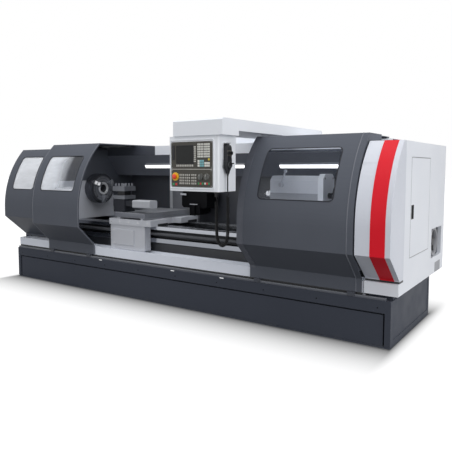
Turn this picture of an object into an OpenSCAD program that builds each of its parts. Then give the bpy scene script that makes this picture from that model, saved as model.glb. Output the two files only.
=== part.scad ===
// Flat-bed CNC lathe with sliding guard doors, overhead control box and end cabinet.
// Working frame of the modules: X from the left end of the base, Y back from its front face,
// Z up from the floor.

/* [Base and tray] */
// Length of the base
base_l = 4600; // [4400:10:5000]
// Depth of the base
base_w = 1130; // [1110:5:1200]
// Height of the base rim above the floor
base_h = 355; // [330:1:365]
// Height of a levelling pad
pad_h = 12; // [8:1:25]
// Diameter of a levelling pad
pad_d = 130; // [90:5:180]
// Depth of the recessed front panel
panel_recess = 8; // [4:1:15]
// Width of the base post at each end of the recessed panel
base_post = 45; // [30:5:90]
// Height of the rim strip above the recessed panel
rim_strip = 94; // [60:1:120]
// Width of the joint round the front panels
joint_w = 12; // [6:1:16]
// Thickness of the tray sheet
tray_t = 5; // [3:1:8]
// Set-back of the tray lip from the base front
lip_y = 33; // [33:1:45]
// Bottom edge of the tray lip
lip_z = 390; // [380:1:400]
// Top edge of the tray lip
lip_top = 478; // [470:1:485]

/* [Bed] */
// Height of the bed ways above the floor
way_z = 740; // [730:1:760]
// Front edge of the bed
bed_y = 150; // [150:1:160]
// Room in front of and behind the bed on the base, together
bed_room = 480; // [450:5:500]
// Width of one way
way_w = 160; // [150:5:180]
// Thickness of a way head
way_h = 36; // [30:1:45]
// Thickness of a bed web
web_t = 60; // [50:2:80]
// Depth of the ball screw recess under the front way
screw_recess = 65; // [60:1:75]
// Height of the bright ledge below the ball screw
ledge_h = 42; // [30:1:50]
// Clear height of the ball screw recess
recess_h = 87; // [84:1:95]
// Left end of the bed
bed_x = 140; // [130:5:160]
// Running clearance of slides on their ways
slide_gap = 0.3; // [0.2:0.05:0.6]

/* [Spindle] */
// Height of the spindle axis above the ways
centre_h = 350; // [330:1:380]
// Position of the headstock face
face_x = 900; // [880:5:940]
// Set-in of the headstock from each side of the bed
head_in = 50; // [25:5:75]
// Height of the headstock above the ways
head_h = 550; // [520:5:580]
// Diameter of the spindle journal
journal_d = 160; // [140:2:180]
// Diameter of the spindle through bore
bore_d = 105; // [80:1:115]
// Radial running clearance of shafts in their bores
fit = 0.05; // [0.02:0.01:0.08]
// Diameter of the chuck
chuck_d = 350; // [320:2:380]
// Length of the chuck
chuck_l = 118; // [100:1:130]
// Diameter of the ring round the chuck bore
ring_d = 146; // [130:1:150]
// Width of a jaw slot
jaw_slot = 30; // [24:1:36]
// Depth of a jaw slot
jaw_depth = 15; // [10:1:20]
// Length of a jaw along its slot
jaw_l = 84; // [70:1:90]
// Height of a jaw above the chuck face
jaw_h = 64; // [50:1:70]
// Diameter of the spindle pulley
spindle_pulley_d = 252; // [230:2:280]
// Diameter of the motor pulley
motor_pulley_d = 140; // [120:2:160]
// Width of the drive belt
belt_w = 40; // [30:1:50]
// Thickness of the drive belt
belt_t = 10; // [6:1:12]
// Diameter of the main motor
motor_d = 210; // [180:5:220]
// Length of the main motor
motor_l = 400; // [320:10:440]

/* [Carriage] */
// Distance of the saddle from the headstock face at rest
saddle_off = 686; // [660:1:740]
// Width of the saddle wings
saddle_w = 595; // [580:1:640]
// Front edge of the saddle
saddle_y = 50; // [50:1:56]
// Gap between the front and rear saddle wings
wing_gap = 211; // [180:1:240]
// Thickness of the saddle
saddle_t = 62; // [50:1:75]
// Width of the apron
apron_w = 495; // [470:1:530]
// Bottom edge of the apron
apron_z = 482; // [480:1:560]
// Diameter of the feed screw
screw_d = 40; // [32:1:45]
// Diameter of the ball nut
nut_d = 70; // [60:1:74]
// Edge length of the feed motors
servo_w = 130; // [110:2:134]
// Width of the cross slide
slide_w = 425; // [400:1:440]
// Length of the cross slide
slide_l = 710; // [660:5:730]
// Thickness of the cross slide
slide_t = 50; // [44:1:60]
// Height of the cross slide guide rails
guide_h = 18; // [14:1:24]
// Edge length of the tool turret
turret_w = 177; // [160:1:190]
// Height of the turret base
turret_base_h = 135; // [120:1:150]
// Thickness of the lower turret plate
turret_low_t = 39; // [30:1:45]
// Height of the tool slot
tool_slot = 45; // [34:1:52]
// Thickness of the upper turret plate
turret_top_t = 50; // [40:1:56]
// Length of the turret drive housing
turret_drive_l = 363; // [320:1:380]

/* [Tailstock] */
// Distance of the tailstock barrel from the right end of the bed at rest
tail_off = 985; // [960:1:1000]
// Length of the tailstock barrel
barrel_l = 480; // [460:1:510]
// Width of the tailstock barrel
barrel_w = 200; // [180:1:220]
// Height of the barrel above the spindle axis
barrel_up = 172; // [160:1:180]
// Height of the tailstock barrel below the spindle axis
barrel_down = 80; // [75:1:90]
// Diameter of the quill
quill_d = 90; // [76:1:100]
// Reach of the quill out of the barrel at rest
quill_out = 50; // [46:1:70]
// Reach of the live centre out of the quill
centre_l = 70; // [60:1:90]
// Diameter of the tailstock handwheel
wheel_d = 210; // [180:2:240]

/* [Guards] */
// Top of the sliding doors above the floor
door_top = 1600; // [1590:1:1620]
// Front bulge of the doors ahead of the base front
bulge = 190; // [180:1:200]
// Height of the crease below the door bulge
crease_z = 708; // [690:1:730]
// Height at which the door front starts to curve back
curve_z = 865; // [840:1:880]
// Set-back of the front top corner of the doors
brow_y = 125; // [115:1:135]
// Set-back of the door skirt
skirt_y = 20; // [18:1:22]
// Top of the door skirt
skirt_top = 497; // [490:1:505]
// Thickness of the door sheet
sheet_t = 5; // [4:0.5:7]
// Depth of the folded door edges
edge_fold = 12; // [8:1:13]
// Depth of the fold at the right end of the right door
end_fold = 70; // [50:1:75]
// Left side of the left door at rest
left_door_x = 590; // [575:1:610]
// Width of the left door
left_door_w = 787; // [770:1:795]
// Set-in of the left door roof from the rear wall
left_roof_in = 71; // [40:1:180]
// Width of the right door
right_door_w = 996; // [985:1:1003]
// Depth of the right door roof
right_roof = 405; // [380:5:440]
// Drop of the rear fold of the right door roof
roof_drop = 75; // [40:1:90]
// Room left of the window in the left door
left_window_in = 115; // [90:1:130]
// Room right of the window in the left door
left_window_out = 104; // [90:1:130]
// Room left of the window in the right door
right_window_in = 181; // [160:1:200]
// Room right of the window in the right door
right_window_out = 163; // [140:1:185]
// Width of the window of the fixed guard
guard_window_w = 400; // [360:1:420]
// Height of the left windows
window_h = 378; // [340:1:390]
// Height of the right door window
right_window_h = 408; // [380:1:412]
// Lower edge of the windows
window_z = 1084; // [1070:1:1100]
// Corner radius of the windows
window_r = 40; // [20:1:60]
// Thickness of the window panes
pane_t = 6; // [4:1:7]
// Lap of a pane behind the sheet
pane_lap = 14; // [8:1:20]
// Gap between the fixed guard and the doors in front
guard_gap = 29; // [26:1:34]
// Drop of the fixed guard roof below the doors
guard_drop = 48; // [44:1:60]
// Width of the door rail
rail_w = 20; // [14:1:20]
// Height of the door rail
rail_h = 20; // [16:1:22]
// Length of a door glide
glide_l = 60; // [40:1:80]
// Height of the roof glides above the hood
roof_glide_h = 14; // [13:1:20]
// Set-back of the hood lip
hood_y = 675; // [660:1:690]
// Height of the hood lip
hood_lip = 102; // [90:1:110]
// Overhang of the hood behind the base
hood_over = 190; // [185:1:210]
// Set-in of the rear wall of the work space from the back of the base
wall_in = 44; // [40:1:55]
// Height of the ledge below the lamps
ledge_z = 1248; // [1240:1:1260]
// Height of a work lamp along the slope
lamp_h = 52; // [40:1:60]
// Thickness of a work lamp
lamp_t = 26; // [16:1:30]

/* [End cabinet] */
// Width of the end cover and cabinet
cover_w = 258; // [240:1:270]
// Overhang of the cabinet past the right end of the base
overhang = 40; // [30:1:60]
// Gap between the right door and the end cover
door_gap = 12; // [10:1:25]
// Top of the end cover
cover_top = 1535; // [1500:1:1545]
// Overhang of the cabinet behind the base
cabinet_over = 320; // [290:5:350]
// Thickness of the cabinet sheet
cabinet_t = 4; // [3:1:6]
// Width of the red band
band_w = 108; // [90:1:130]
// Width of the white rim right of the red band
band_rim = 38; // [20:1:50]
// Thickness of the red band
band_t = 2; // [1:0.5:4]
// Room in front of the cabinet door
cab_door_front = 151; // [130:1:170]
// Room behind the cabinet door, for the fan
cab_door_rear = 579; // [560:1:600]
// Room above the cabinet door
cab_door_head = 120; // [90:1:140]
// Height of the cabinet door
cab_door_h = 775; // [740:1:800]
// Radius of the cabinet door hinge barrel
barrel_r = 3; // [3:0.5:4]
// Diameter of the cabinet fan
fan_d = 200; // [170:2:210]

/* [Control] */
// Distance of the overhead arm's left side from the end cover
arm_off = 1431; // [1420:1:1440]
// Width of the overhead arm
arm_w = 494; // [470:1:510]
// Front of the overhead arm ahead of the base front
arm_front = 492; // [485:1:500]
// Height of the overhead arm
arm_h = 92; // [80:1:110]
// Gap between the doors and the arm
arm_gap = 26; // [18:1:40]
// Depth of the drop head at the front of the arm
arm_head_l = 227; // [220:1:240]
// Drop of the arm head
arm_head_drop = 39; // [30:1:45]
// Overhang of the control box left of the arm
box_over = 58; // [50:1:65]
// Width of the control box
box_w = 503; // [495:1:510]
// Depth of the control box
box_d = 245; // [235:1:248]
// Height of the control box
box_h = 442; // [435:1:450]
// Radius of the upright edges of the control box
box_r = 14; // [10:1:40]
// Width of the operator panel
panel_w = 416; // [414:1:425]
// Height of the operator panel
panel_h = 363; // [361:1:372]
// Thickness of the operator panel
panel_t = 6; // [4:1:10]
// Height of the keys above the panel
key_h = 2.5; // [1:0.5:4]
// Diameter of the emergency stop button
estop_d = 40; // [34:1:44]
// Height of the emergency stop button above its collar
estop_h = 32; // [26:1:38]
// Diameter of the override knobs
knob_d = 46; // [36:1:48]
// Height of the override knobs
knob_h = 24; // [16:1:30]
// Width of the hand pendant
pendant_w = 80; // [76:1:90]
// Height of the hand pendant
pendant_h = 222; // [205:1:225]
// Thickness of the hand pendant
pendant_t = 38; // [34:1:42]
// Diameter of the pendant dial
dial_d = 54; // [48:1:60]
// Outer diameter of the curly cord
curl_d = 25; // [20:1:28]

/* [Hidden] */
$fn = 64;
EPS = 1;
ARC_STEPS = 20;
CORNER_STEPS = 6;

// Ends of the machine and the middle of its box on the floor
end_x = base_l + overhang;
cover_x = end_x - cover_w;
cabinet_back = base_w + cabinet_over;
hood_back = base_w + hood_over;
wall_y = base_w - wall_in;
panel_y = -arm_front + 17;
panel_front = panel_y - panel_t;
collar_h = 6;
front_y = panel_front - collar_h - estop_h;
x_mid = end_x / 2;
y_mid = (front_y + cabinet_back) / 2;

// Depth of the joints between base panels
joint_d = 40;

// Tray and bed
floor_z = base_h + tray_t;
tray_wall_y = lip_y + 27;
tray_x1 = cover_x - 6;
tray_back = base_w - 6;
bed_x1 = cover_x - 32;
bed_w = base_w - bed_room;
bed_y1 = bed_y + bed_w;
rail_z = way_z - way_h;
ledge_top = rail_z - recess_h;
web_y = bed_y + screw_recess;
bed_mid = bed_y + bed_w / 2;
foot_h = 40;
rib_t = 40;
rib_step = 455;
way_groove = 10;
groove_at = 75;
groove_d = 4;
chip_low = 380;
chip_high = lip_top - tray_t - 1;

// Feed screw along the bed
screw_y = bed_y + 15;
screw_z = ledge_top + recess_h / 2;
screw_block_l = 60;
screw_x0 = face_x + 5;
screw_journal_r = 15;
servo_l = 245;
servo_x1 = face_x - 15;
pocket_gap = 5;

// Spindle line
axis_y = bed_mid;
axis_z = way_z + centre_h;
nose_gap = 1;
nose_t = 5;
nose_d = 230;
chuck_x0 = face_x + nose_gap + nose_t;
chuck_x1 = chuck_x0 + chuck_l;
ring_h = 10;
jaw_angles = [150, 30, 270];
jaw_r0 = ring_d / 2 + 12;
jaw_gap = 0.2;
jaw_foot = 8;
key_socket_d = 26;
head_x = 150;
head_y0 = bed_y + head_in;
head_y1 = bed_y1 - head_in;
head_top = way_z + head_h;
face_top = head_top - 110;
belt_x = 60;
flange_t = 5;
flange_rise = 12;
belt_gap = 0.3;
motor_x = head_x;
motor_y = (bed_y1 + wall_y) / 2;
motor_z = floor_z + motor_d / 2 + 55;
motor_shaft_r = 19;
spindle_belt_r = spindle_pulley_d / 2 + belt_gap;
motor_belt_r = motor_pulley_d / 2 + belt_gap;

// Carriage
saddle_x = face_x + saddle_off;
saddle_z0 = way_z + slide_gap;
saddle_z1 = saddle_z0 + saddle_t;
saddle_back = bed_y1 + 22;
wing_y0 = bed_mid - wing_gap / 2 - 55;
wing_y1 = wing_y0 + wing_gap;
wing_cut = 30;
bridge_x = saddle_x + 86;
bridge_w = slide_w;
apron_x = saddle_x + 9;
apron_y = saddle_y + 12;
apron_back = bed_y - 2;
apron_cover_t = 8;
nut_l = 130;
nut_x = [apron_x + apron_w / 2 - nut_l / 2, apron_x + apron_w / 2 + nut_l / 2];
slide_x = bridge_x;
slide_z0 = saddle_z1 + guide_h;
slide_z1 = slide_z0 + slide_t;
guide_w = 34;
t_slot = [[-7, EPS], [-7, -10], [-14, -10], [-14, -22], [14, -22], [14, -10], [7, -10], [7, EPS]];
turret_x = saddle_x + 20;
turret_y = saddle_y + 30;
turret_cx = turret_x + turret_w / 2;
turret_cy = turret_y + turret_w / 2;
turret_base_in = 6;
turret_z0 = slide_z1 + turret_base_h;
turret_stud_r = 20;
turret_stud_l = 22;
turret_core = 104;
plate_cut = 8;
x_servo_x = slide_x + slide_w + 12;
terminal_left = 135;
terminal_right = 90;
terminal_gap = 16;
terminal_h = 184;

// Tailstock
tail_x = bed_x1 - tail_off;
tail_base_x = tail_x - 20;
tail_base_l = barrel_l + 40;
tail_base_h = 50;
inner_y0 = bed_y + groove_at + way_groove;
inner_y1 = bed_y1 - groove_at - way_groove;
barrel_y0 = axis_y - barrel_w / 2;
barrel_y1 = axis_y + barrel_w / 2;
barrel_z0 = axis_z - barrel_down;
barrel_z1 = axis_z + barrel_up;
barrel_cut = 42;
tail_flange_t = 50;
flange_out = 18;
tail_x1 = tail_x + barrel_l;
flange_x1 = tail_x1 + tail_flange_t;
quill_x0 = tail_x - quill_out;
quill_l = quill_out + barrel_l - 100;
shank_r = 15;
shank_l = 60;
centre_r = 34;
wheel_shaft_r = 12;
wheel_x = flange_x1 + 60;
rim_r = 11;
wheel_handle_l = 86;
lever_x = tail_x + 120;
lever_z = axis_z + barrel_down + 12;
lever_pin_r = 10;

// Guards: shape = [bulge y, crease z, curve z, brow y, top z, foot y, foot z]
door_shape = [-bulge, crease_z, curve_z, brow_y, door_top, skirt_y, skirt_top];
guard_shape = [guard_gap - bulge, crease_z + 49, curve_z - 15, brow_y - 13, door_top - guard_drop, 114, 518];
cover_shape = [7 - bulge, crease_z, curve_z + 35, brow_y - 27, cover_top, 58, 503];
rail_y = skirt_y - 14;
rail_top = base_h + rail_h;
glide_crown = 17;
skirt_z = rail_top + glide_crown;
hood_top = door_top - sheet_t - roof_glide_h;
hood_x0 = face_x - 10;
hood_x1 = cover_x - 4;
lip_low = hood_top - hood_lip;
slope_y = hood_y + 170;
lamp_seat = 0.1;
left_roof = wall_y - left_roof_in;
right_door_x = cover_x - door_gap - right_door_w;
left_window_x = left_door_x + left_window_in;
left_window_w = left_door_w - left_window_in - left_window_out;
right_window_x = right_door_x + right_window_in;
right_window_w = right_door_w - right_window_in - right_window_out;
guard_window_x = 125;
roof_glide_y = hood_y + 20;
roof_glide_w = 60;
track_rim = 6;
door_arm_w = 60;
edge_strip_w = 60;
edge_strip_t = 3;

// End cabinet
shelf_z = skirt_top - 14;
cabinet_y = 150;
cab_door_y0 = cabinet_y + cab_door_front;
cab_door_y1 = cabinet_back - cab_door_rear;
cab_door_z1 = cover_top - cab_door_head;
cab_door_z0 = cab_door_z1 - cab_door_h;
cab_axis_x = end_x - barrel_r;
cab_axis_y = cab_door_y1;
cab_slot = 2;
hinge_lug = 20;
hinge_pin = 15;
grip_z = cab_door_z0 + 0.39 * cab_door_h;
grip_h = 102;
grip_w = 26;
plate_x = cover_x + 24;
module_w = 110;
module_step = 150;
module_h = 260;
module_rise = 360;
fan_y = cabinet_back - 278;
fan_z = 668;
fan_shaft_r = 8;
fan_opening_w = 370;
fan_opening_h = 262;

// Control
arm_x = cover_x - arm_off;
arm_back = hood_back - 5;
arm_cut = 14;
foot_l = 415;
cable_box_w = 340;
cable_box_rise = 36;
arm_z0 = door_top + arm_gap;
arm_z1 = arm_z0 + arm_h;
box_z1 = arm_z0 - arm_head_drop;
box_z0 = box_z1 - box_h;
box_x = arm_x - box_over;
box_x1 = box_x + box_w;
panel_x = box_x + 29;
panel_z0 = box_z0 + 34;
estop_x = panel_x + 44;
control_z = panel_z0 + 83;
feed_x = panel_x + 306;
speed_x = panel_x + 367;
stem_r = 11;
knob_stem_r = 4;
pendant_x = box_x1 + 8;
pendant_x1 = pendant_x + pendant_t;
pendant_cy = panel_y + 83;
pendant_z1 = box_z1 - 77;
pendant_z0 = pendant_z1 - pendant_h;
dial_z = pendant_z0 + 70;
selector_z = pendant_z0 + 160;
selector_d = 26;
selector_off = 20;
gland_r = 15;
gland_l = 42;
gland_x = box_x1 - 80;
lead_r = 3.5;

// Middle line of the pendant cord: straight lead, curly leg down, bend, curly leg up to the gland.
// Points of the coil are [x from the gland, z from the underside of the control box].
CORD_COIL = [
    [107, -5], [108, -65], [109, -135], [109, -205], [108, -280], [106, -343], [98, -386], [80, -417],
    [54, -430], [28, -417], [10, -386], [2, -343], [0, -280], [-1, -205], [-1, -135], [0, -80], [0, -gland_l]
];
CORD_LEAD_X = gland_x + CORD_COIL[0][0];
CORD_LEAD_Z = [pendant_z0, pendant_z0 - 48, pendant_z0 - 98, box_z0 + 5];
CORD_ROUTE = concat(
    [for (z = CORD_LEAD_Z) [CORD_LEAD_X, pendant_cy, z]],
    [for (p = CORD_COIL) [gland_x + p[0], pendant_cy, box_z0 + p[1]]]
);
CORD_LEAD_RINGS = 4;
CORD_SIDES = 10;

// Key groups as [x from, x to, z from, z to, columns, rows, gap], drawn on a panel of this size
KEYS_DRAWN_ON = [416, 363];
KEY_GROUPS = [
    [273, 332, 236, 346, 4, 6, 3], [340, 393, 236, 346, 3, 6, 3], [274, 335, 163, 216, 3, 3, 3],
    [342, 393, 163, 199, 3, 2, 3], [376, 393, 212, 228, 1, 1, 3], [234, 260, 200, 325, 1, 8, 3],
    [55, 228, 163, 182, 10, 1, 3], [87, 137, 20, 106, 3, 4, 5], [147, 197, 20, 106, 3, 4, 5],
    [210, 260, 20, 106, 3, 4, 5], [276, 330, 22, 38, 3, 1, 4], [340, 392, 22, 38, 3, 1, 4],
    [12, 62, 12, 30, 2, 1, 10]
];
SCREEN_AT = [57, 231, 190, 329];
key_sx = panel_w / KEYS_DRAWN_ON[0];
key_sz = panel_h / KEYS_DRAWN_ON[1];

// Shared shapes

// Moves the working frame to the middle of the machine's box on the floor
module placed() translate([-x_mid, -y_mid, 0]) children();

module block(x, y, z) translate([x[0], y[0], z[0]]) cube([x[1] - x[0], y[1] - y[0], z[1] - z[0]]);

// Extrudes an outline drawn in (Y, Z) along X, in (X, Z) along Y, or in (X, Y) along Z
module along_x(x) translate([x[0], 0, 0]) rotate([90, 0, 90]) linear_extrude(x[1] - x[0]) children();
module along_y(y) translate([0, y[1], 0]) rotate([90, 0, 0]) linear_extrude(y[1] - y[0]) children();
module along_z(z) translate([0, 0, z[0]]) linear_extrude(z[1] - z[0]) children();

module rod_x(x, y, z, r) translate([x[0], y, z]) rotate([0, 90, 0]) cylinder(h = x[1] - x[0], r = r);
module rod_y(x, y, z, r) translate([x, y[0], z]) rotate([-90, 0, 0]) cylinder(h = y[1] - y[0], r = r);
module rod_z(x, y, z, r) translate([x, y, z[0]]) cylinder(h = z[1] - z[0], r = r);

function corner(c, r, a) =
    [for (i = [0 : CORNER_STEPS]) let (q = a + 90 * i / CORNER_STEPS) c + r * [cos(q), sin(q)]];

// Rectangle with round corners
function rounded(a, b, r) = concat(
    corner([a[1] - r, b[1] - r], r, 0), corner([a[0] + r, b[1] - r], r, 90),
    corner([a[0] + r, b[0] + r], r, 180), corner([a[1] - r, b[0] + r], r, 270)
);

// Rectangle with cut corners
function chamfered(a, b, c) = [
    [a[0] + c, b[0]], [a[1] - c, b[0]], [a[1], b[0] + c], [a[1], b[1] - c],
    [a[1] - c, b[1]], [a[0] + c, b[1]], [a[0], b[1] - c], [a[0], b[0] + c]
];

// Front outline of a guard, set in by g: foot, crease, upright and curved brow
function guard_r(s) = ((s[3] - s[0]) ^ 2 + (s[4] - s[2]) ^ 2) / (2 * (s[3] - s[0]));
function slant(s) = let (d = [s[0] - s[5], s[1] - s[6]]) d / norm(d);
function foot_pt(s, g) = let (u = slant(s), t = g * (1 - u[1]) / u[0]) [s[5] + g, s[6] - g * u[0] + t * u[1]];
function crease_pt(s, g) =
    let (u = slant(s), t = (s[0] + g - s[5] - g * u[1]) / u[0]) [s[0] + g, s[6] - g * u[0] + t * u[1]];
function brow_pts(s, g) =
    let (r = guard_r(s) - g, c = s[0] + guard_r(s), rise = asin((s[4] - g - s[2]) / r))
    [for (i = [0 : ARC_STEPS]) [c - r * cos(rise * i / ARC_STEPS), s[2] + r * sin(rise * i / ARC_STEPS)]];
function front_pts(s, g) = concat([foot_pt(s, g), crease_pt(s, g)], brow_pts(s, g));

// Filled guard section down to low and back to back, and the bent sheet between two set-ins
module section(s, g, low, back)
    polygon(concat([[s[5] + g, low]], front_pts(s, g), [[back, s[4] - g], [back, low]]));
module bent_sheet(s, g0, g1, low, back)
    difference() {
        section(s, g0, low, back);
        section(s, g1, low - EPS, back + EPS);
    }

// Window hole through a guard front, grown by lap
module window_cut(x, w, h, lap)
    along_y([-bulge - 20, brow_y + 20])
        polygon(rounded([x - lap, x + w + lap], [window_z - lap, window_z + h + lap], window_r + lap));

// Pane behind a guard front
module pane(s, x, w, h)
    intersection() {
        along_x([x - pane_lap, x + w + pane_lap])
            bent_sheet(s, sheet_t, sheet_t + pane_t, skirt_top, brow_y + 60);
        window_cut(x, w, h, pane_lap);
    }

// Folded sheet across the end of a door, above the skirt
module door_fold(x, back, depth)
    difference() {
        along_x([x, x + sheet_t]) bent_sheet(door_shape, sheet_t / 2, depth, skirt_z, back);
        block([x - EPS, x + sheet_t + EPS], [-bulge, back], [skirt_z - EPS, skirt_top + depth]);
    }

// Sliding door shell with end folds and a window hole
module door_shell(x, w, back, right_fold, window_x, window_w, hole_h)
    difference() {
        union() {
            along_x([x, x + w]) bent_sheet(door_shape, 0, sheet_t, skirt_z, back);
            door_fold(x, back, edge_fold);
            door_fold(x + w - sheet_t, back, right_fold);
        }
        window_cut(window_x, window_w, hole_h, 0);
    }

// Grooved block that straddles the front door rail
module rail_glide(x)
    difference() {
        block([x, x + glide_l], [rail_y - 7, rail_y + rail_w + 5], [base_h + 5, skirt_z]);
        block([x - EPS, x + glide_l + EPS], [rail_y - slide_gap, rail_y + rail_w + slide_gap],
            [0, rail_top + slide_gap]);
    }
module roof_glide(x)
    block([x, x + glide_l], [roof_glide_y, roof_glide_y + roof_glide_w],
        [hood_top + slide_gap, door_top - sheet_t]);

// Fixed structure

module base_stand() color("dimgray") placed()
    difference() {
        union() {
            block([0, base_l], [0, base_w], [pad_h, base_h]);
            block([cover_x + 18, base_l - 10], [80, base_w - 10], [base_h, lip_z]);
        }
        block([base_post, base_l - base_post], [-EPS, panel_recess], [pad_h - EPS, base_h - rim_strip]);
        block([base_post, base_l - base_post], [-EPS, joint_d],
            [base_h - rim_strip - joint_w, base_h - rim_strip]);
        for (x = [base_post, base_l - base_post - joint_w])
            block([x, x + joint_w], [-EPS, joint_d], [pad_h - EPS, base_h - rim_strip]);
        block([base_l - joint_d, base_l + EPS], [base_post + 15, base_post + 15 + joint_w],
            [pad_h + 40, base_h - 20]);
        block([base_l - panel_recess / 2, base_l + EPS], [base_post + 15, base_w - base_post],
            [pad_h + 40, base_h - 20]);
        block([base_post, base_l - base_post], [base_w - panel_recess, base_w + EPS],
            [pad_h + 60, base_h - 60]);
    }

module levelling_pads() color("black") placed()
    for (i = [0 : 4], y = [pad_d, base_w - pad_d])
        rod_z(pad_d + i * (base_l - 2 * pad_d) / 4, y, [0, pad_h], pad_d / 2);

module door_rail() color("gray") placed()
    block([10, base_l - 40], [rail_y, rail_y + rail_w], [base_h, rail_top]);

module chip_tray() color("gainsboro") placed() {
    along_x([0, tray_x1]) {
        polygon([
            [lip_y, lip_z], [lip_y, lip_top], [tray_wall_y + tray_t, lip_top],
            [tray_wall_y + tray_t, floor_z], [tray_back - tray_t, floor_z],
            [tray_back - tray_t, lip_top], [tray_back, lip_top], [tray_back, base_h],
            [tray_wall_y, base_h], [tray_wall_y, lip_top - tray_t], [lip_y + tray_t, lip_top - tray_t],
            [lip_y + tray_t, lip_z]
        ]);
        polygon([
            [tray_wall_y + tray_t, chip_low], [bed_y + 35, chip_high],
            [bed_y + 35, chip_high + tray_t], [tray_wall_y + tray_t, chip_low + tray_t]
        ]);
    }
    for (x = [0, tray_x1 - tray_t])
        block([x, x + tray_t], [tray_wall_y, wall_y], [base_h, lip_top]);
}

// Half of the bed section, drawn from the front edge to the web
module bed_half()
    polygon([
        [0, floor_z], [0, floor_z + foot_h], [35, floor_z + foot_h + 20], [35, ledge_top - ledge_h - 12],
        [0, ledge_top - ledge_h], [0, ledge_top], [screw_recess, ledge_top + 6], [screw_recess, rail_z - 6],
        [0, rail_z], [0, way_z], [groove_at, way_z], [groove_at, way_z - groove_d],
        [groove_at + way_groove, way_z - groove_d], [groove_at + way_groove, way_z],
        [way_w, way_z], [way_w, rail_z], [screw_recess + web_t, rail_z - 30],
        [screw_recess + web_t, floor_z + foot_h + 20], [way_w, floor_z + foot_h], [way_w, floor_z]
    ]);

module bed() color("slategray") placed() {
    difference() {
        union() {
            along_x([bed_x, bed_x1]) translate([bed_y, 0]) bed_half();
            along_x([bed_x, bed_x1]) translate([bed_y1, 0]) mirror([1, 0]) bed_half();
            for (x = [bed_x : rib_step : bed_x1 - rib_t])
                block([x, x + rib_t], [web_y + web_t - EPS, bed_y1 - screw_recess - web_t + EPS],
                    [floor_z + 60, rail_z - 60]);
            for (x = [screw_x0, bed_x1 - screw_block_l])
                block([x, x + screw_block_l], [bed_y + 2, web_y + EPS], [ledge_top - EPS, rail_z + EPS]);
        }
        rod_x([face_x, bed_x1 + EPS], screw_y, screw_z, screw_journal_r + fit);
        block([servo_x1 - servo_l - pocket_gap, screw_x0], [bed_y - EPS, screw_y + servo_w / 2 + pocket_gap],
            [screw_z - servo_w / 2 - pocket_gap, screw_z + servo_w / 2 + pocket_gap]);
    }
}

module headstock() color("lightgray") placed()
    difference() {
        union() {
            along_x([head_x, face_x - 15])
                polygon(chamfered([head_y0, head_y1], [way_z, head_top], 24));
            along_x([face_x - 15 - EPS, face_x])
                polygon([[head_y0, way_z], [head_y1, way_z], [head_y1, face_top - 20], [head_y1 - 20, face_top],
                    [head_y0 + 20, face_top], [head_y0, face_top - 20]]);
            block([head_x, face_x], [head_y0 - 20, head_y1 + 20], [way_z, way_z + 70]);
        }
        rod_x([head_x - EPS, face_x + EPS], axis_y, axis_z, journal_d / 2 + fit);
        rod_x([face_x - 6, face_x + EPS], axis_y, axis_z, nose_d / 2 + 8);
    }

module main_motor() color("darkslategray") placed()
    difference() {
        union() {
            rod_x([motor_x + 24, motor_x + motor_l - 40], motor_y, motor_z, motor_d / 2);
            rod_x([motor_x, motor_x + 24], motor_y, motor_z, motor_d / 2 - 14);
            rod_x([motor_x + motor_l - 40, motor_x + motor_l], motor_y, motor_z, motor_d / 2 - 8);
            for (x = [motor_x + 60, motor_x + motor_l - 110])
                block([x, x + 50], [motor_y - motor_d / 2, motor_y + motor_d / 2],
                    [floor_z, motor_z - motor_d / 3]);
            block([motor_x + 120, motor_x + 250], [motor_y - 50, motor_y + 50],
                [motor_z + motor_d / 2 - 20, motor_z + motor_d / 2 + 50]);
        }
        rod_x([motor_x - EPS, motor_x + 90], motor_y, motor_z, motor_shaft_r + fit);
    }

// Outline of a belt round both pulleys, set out by t: two arcs joined by the tangents
function belt_points(t) =
    let (
        d = [motor_y - axis_y, motor_z - axis_z],
        a = atan2(d[1], d[0]),
        b = acos((spindle_belt_r - motor_belt_r) / norm(d))
    )
    concat(
        [for (i = [0 : 36]) let (q = a + b + (360 - 2 * b) * i / 36)
            [axis_y, axis_z] + (spindle_belt_r + t) * [cos(q), sin(q)]],
        [for (i = [0 : 24]) let (q = a - b + 2 * b * i / 24)
            [motor_y, motor_z] + (motor_belt_r + t) * [cos(q), sin(q)]]
    );

module drive_belt() color("black") placed()
    along_x([belt_x, belt_x + belt_w])
        difference() {
            polygon(belt_points(belt_t));
            polygon(belt_points(0.6));
        }

module headstock_bulkhead() color("dimgray") placed()
    difference() {
        along_x([face_x - 15, face_x - 10]) section(guard_shape, 0, floor_z, wall_y);
        block([0, end_x], [-bulge, tray_back], [0, lip_top + 40 - EPS]);
        block([0, end_x], [bed_y - 60, bed_y1 + 4], [0, way_z + 1]);
        block([0, end_x], [head_y0 - 22, head_y1 + 22], [0, way_z + 72]);
        block([0, end_x], [head_y0 - 2, head_y1 + 2], [0, face_top + 2]);
    }

module rear_guard() color("dimgray") placed()
    along_x([hood_x0, hood_x1])
        polygon([
            [hood_y + cabinet_t, lip_low], [slope_y, ledge_z - sheet_t], [wall_y, ledge_z - sheet_t],
            [wall_y, floor_z], [wall_y + sheet_t, floor_z], [wall_y + sheet_t, ledge_z], [slope_y + 3, ledge_z],
            [hood_y + cabinet_t + sheet_t, lip_low + 1], [hood_y + cabinet_t + sheet_t, lip_low + 30],
            [hood_y + cabinet_t, lip_low + 30]
        ]);

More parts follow.
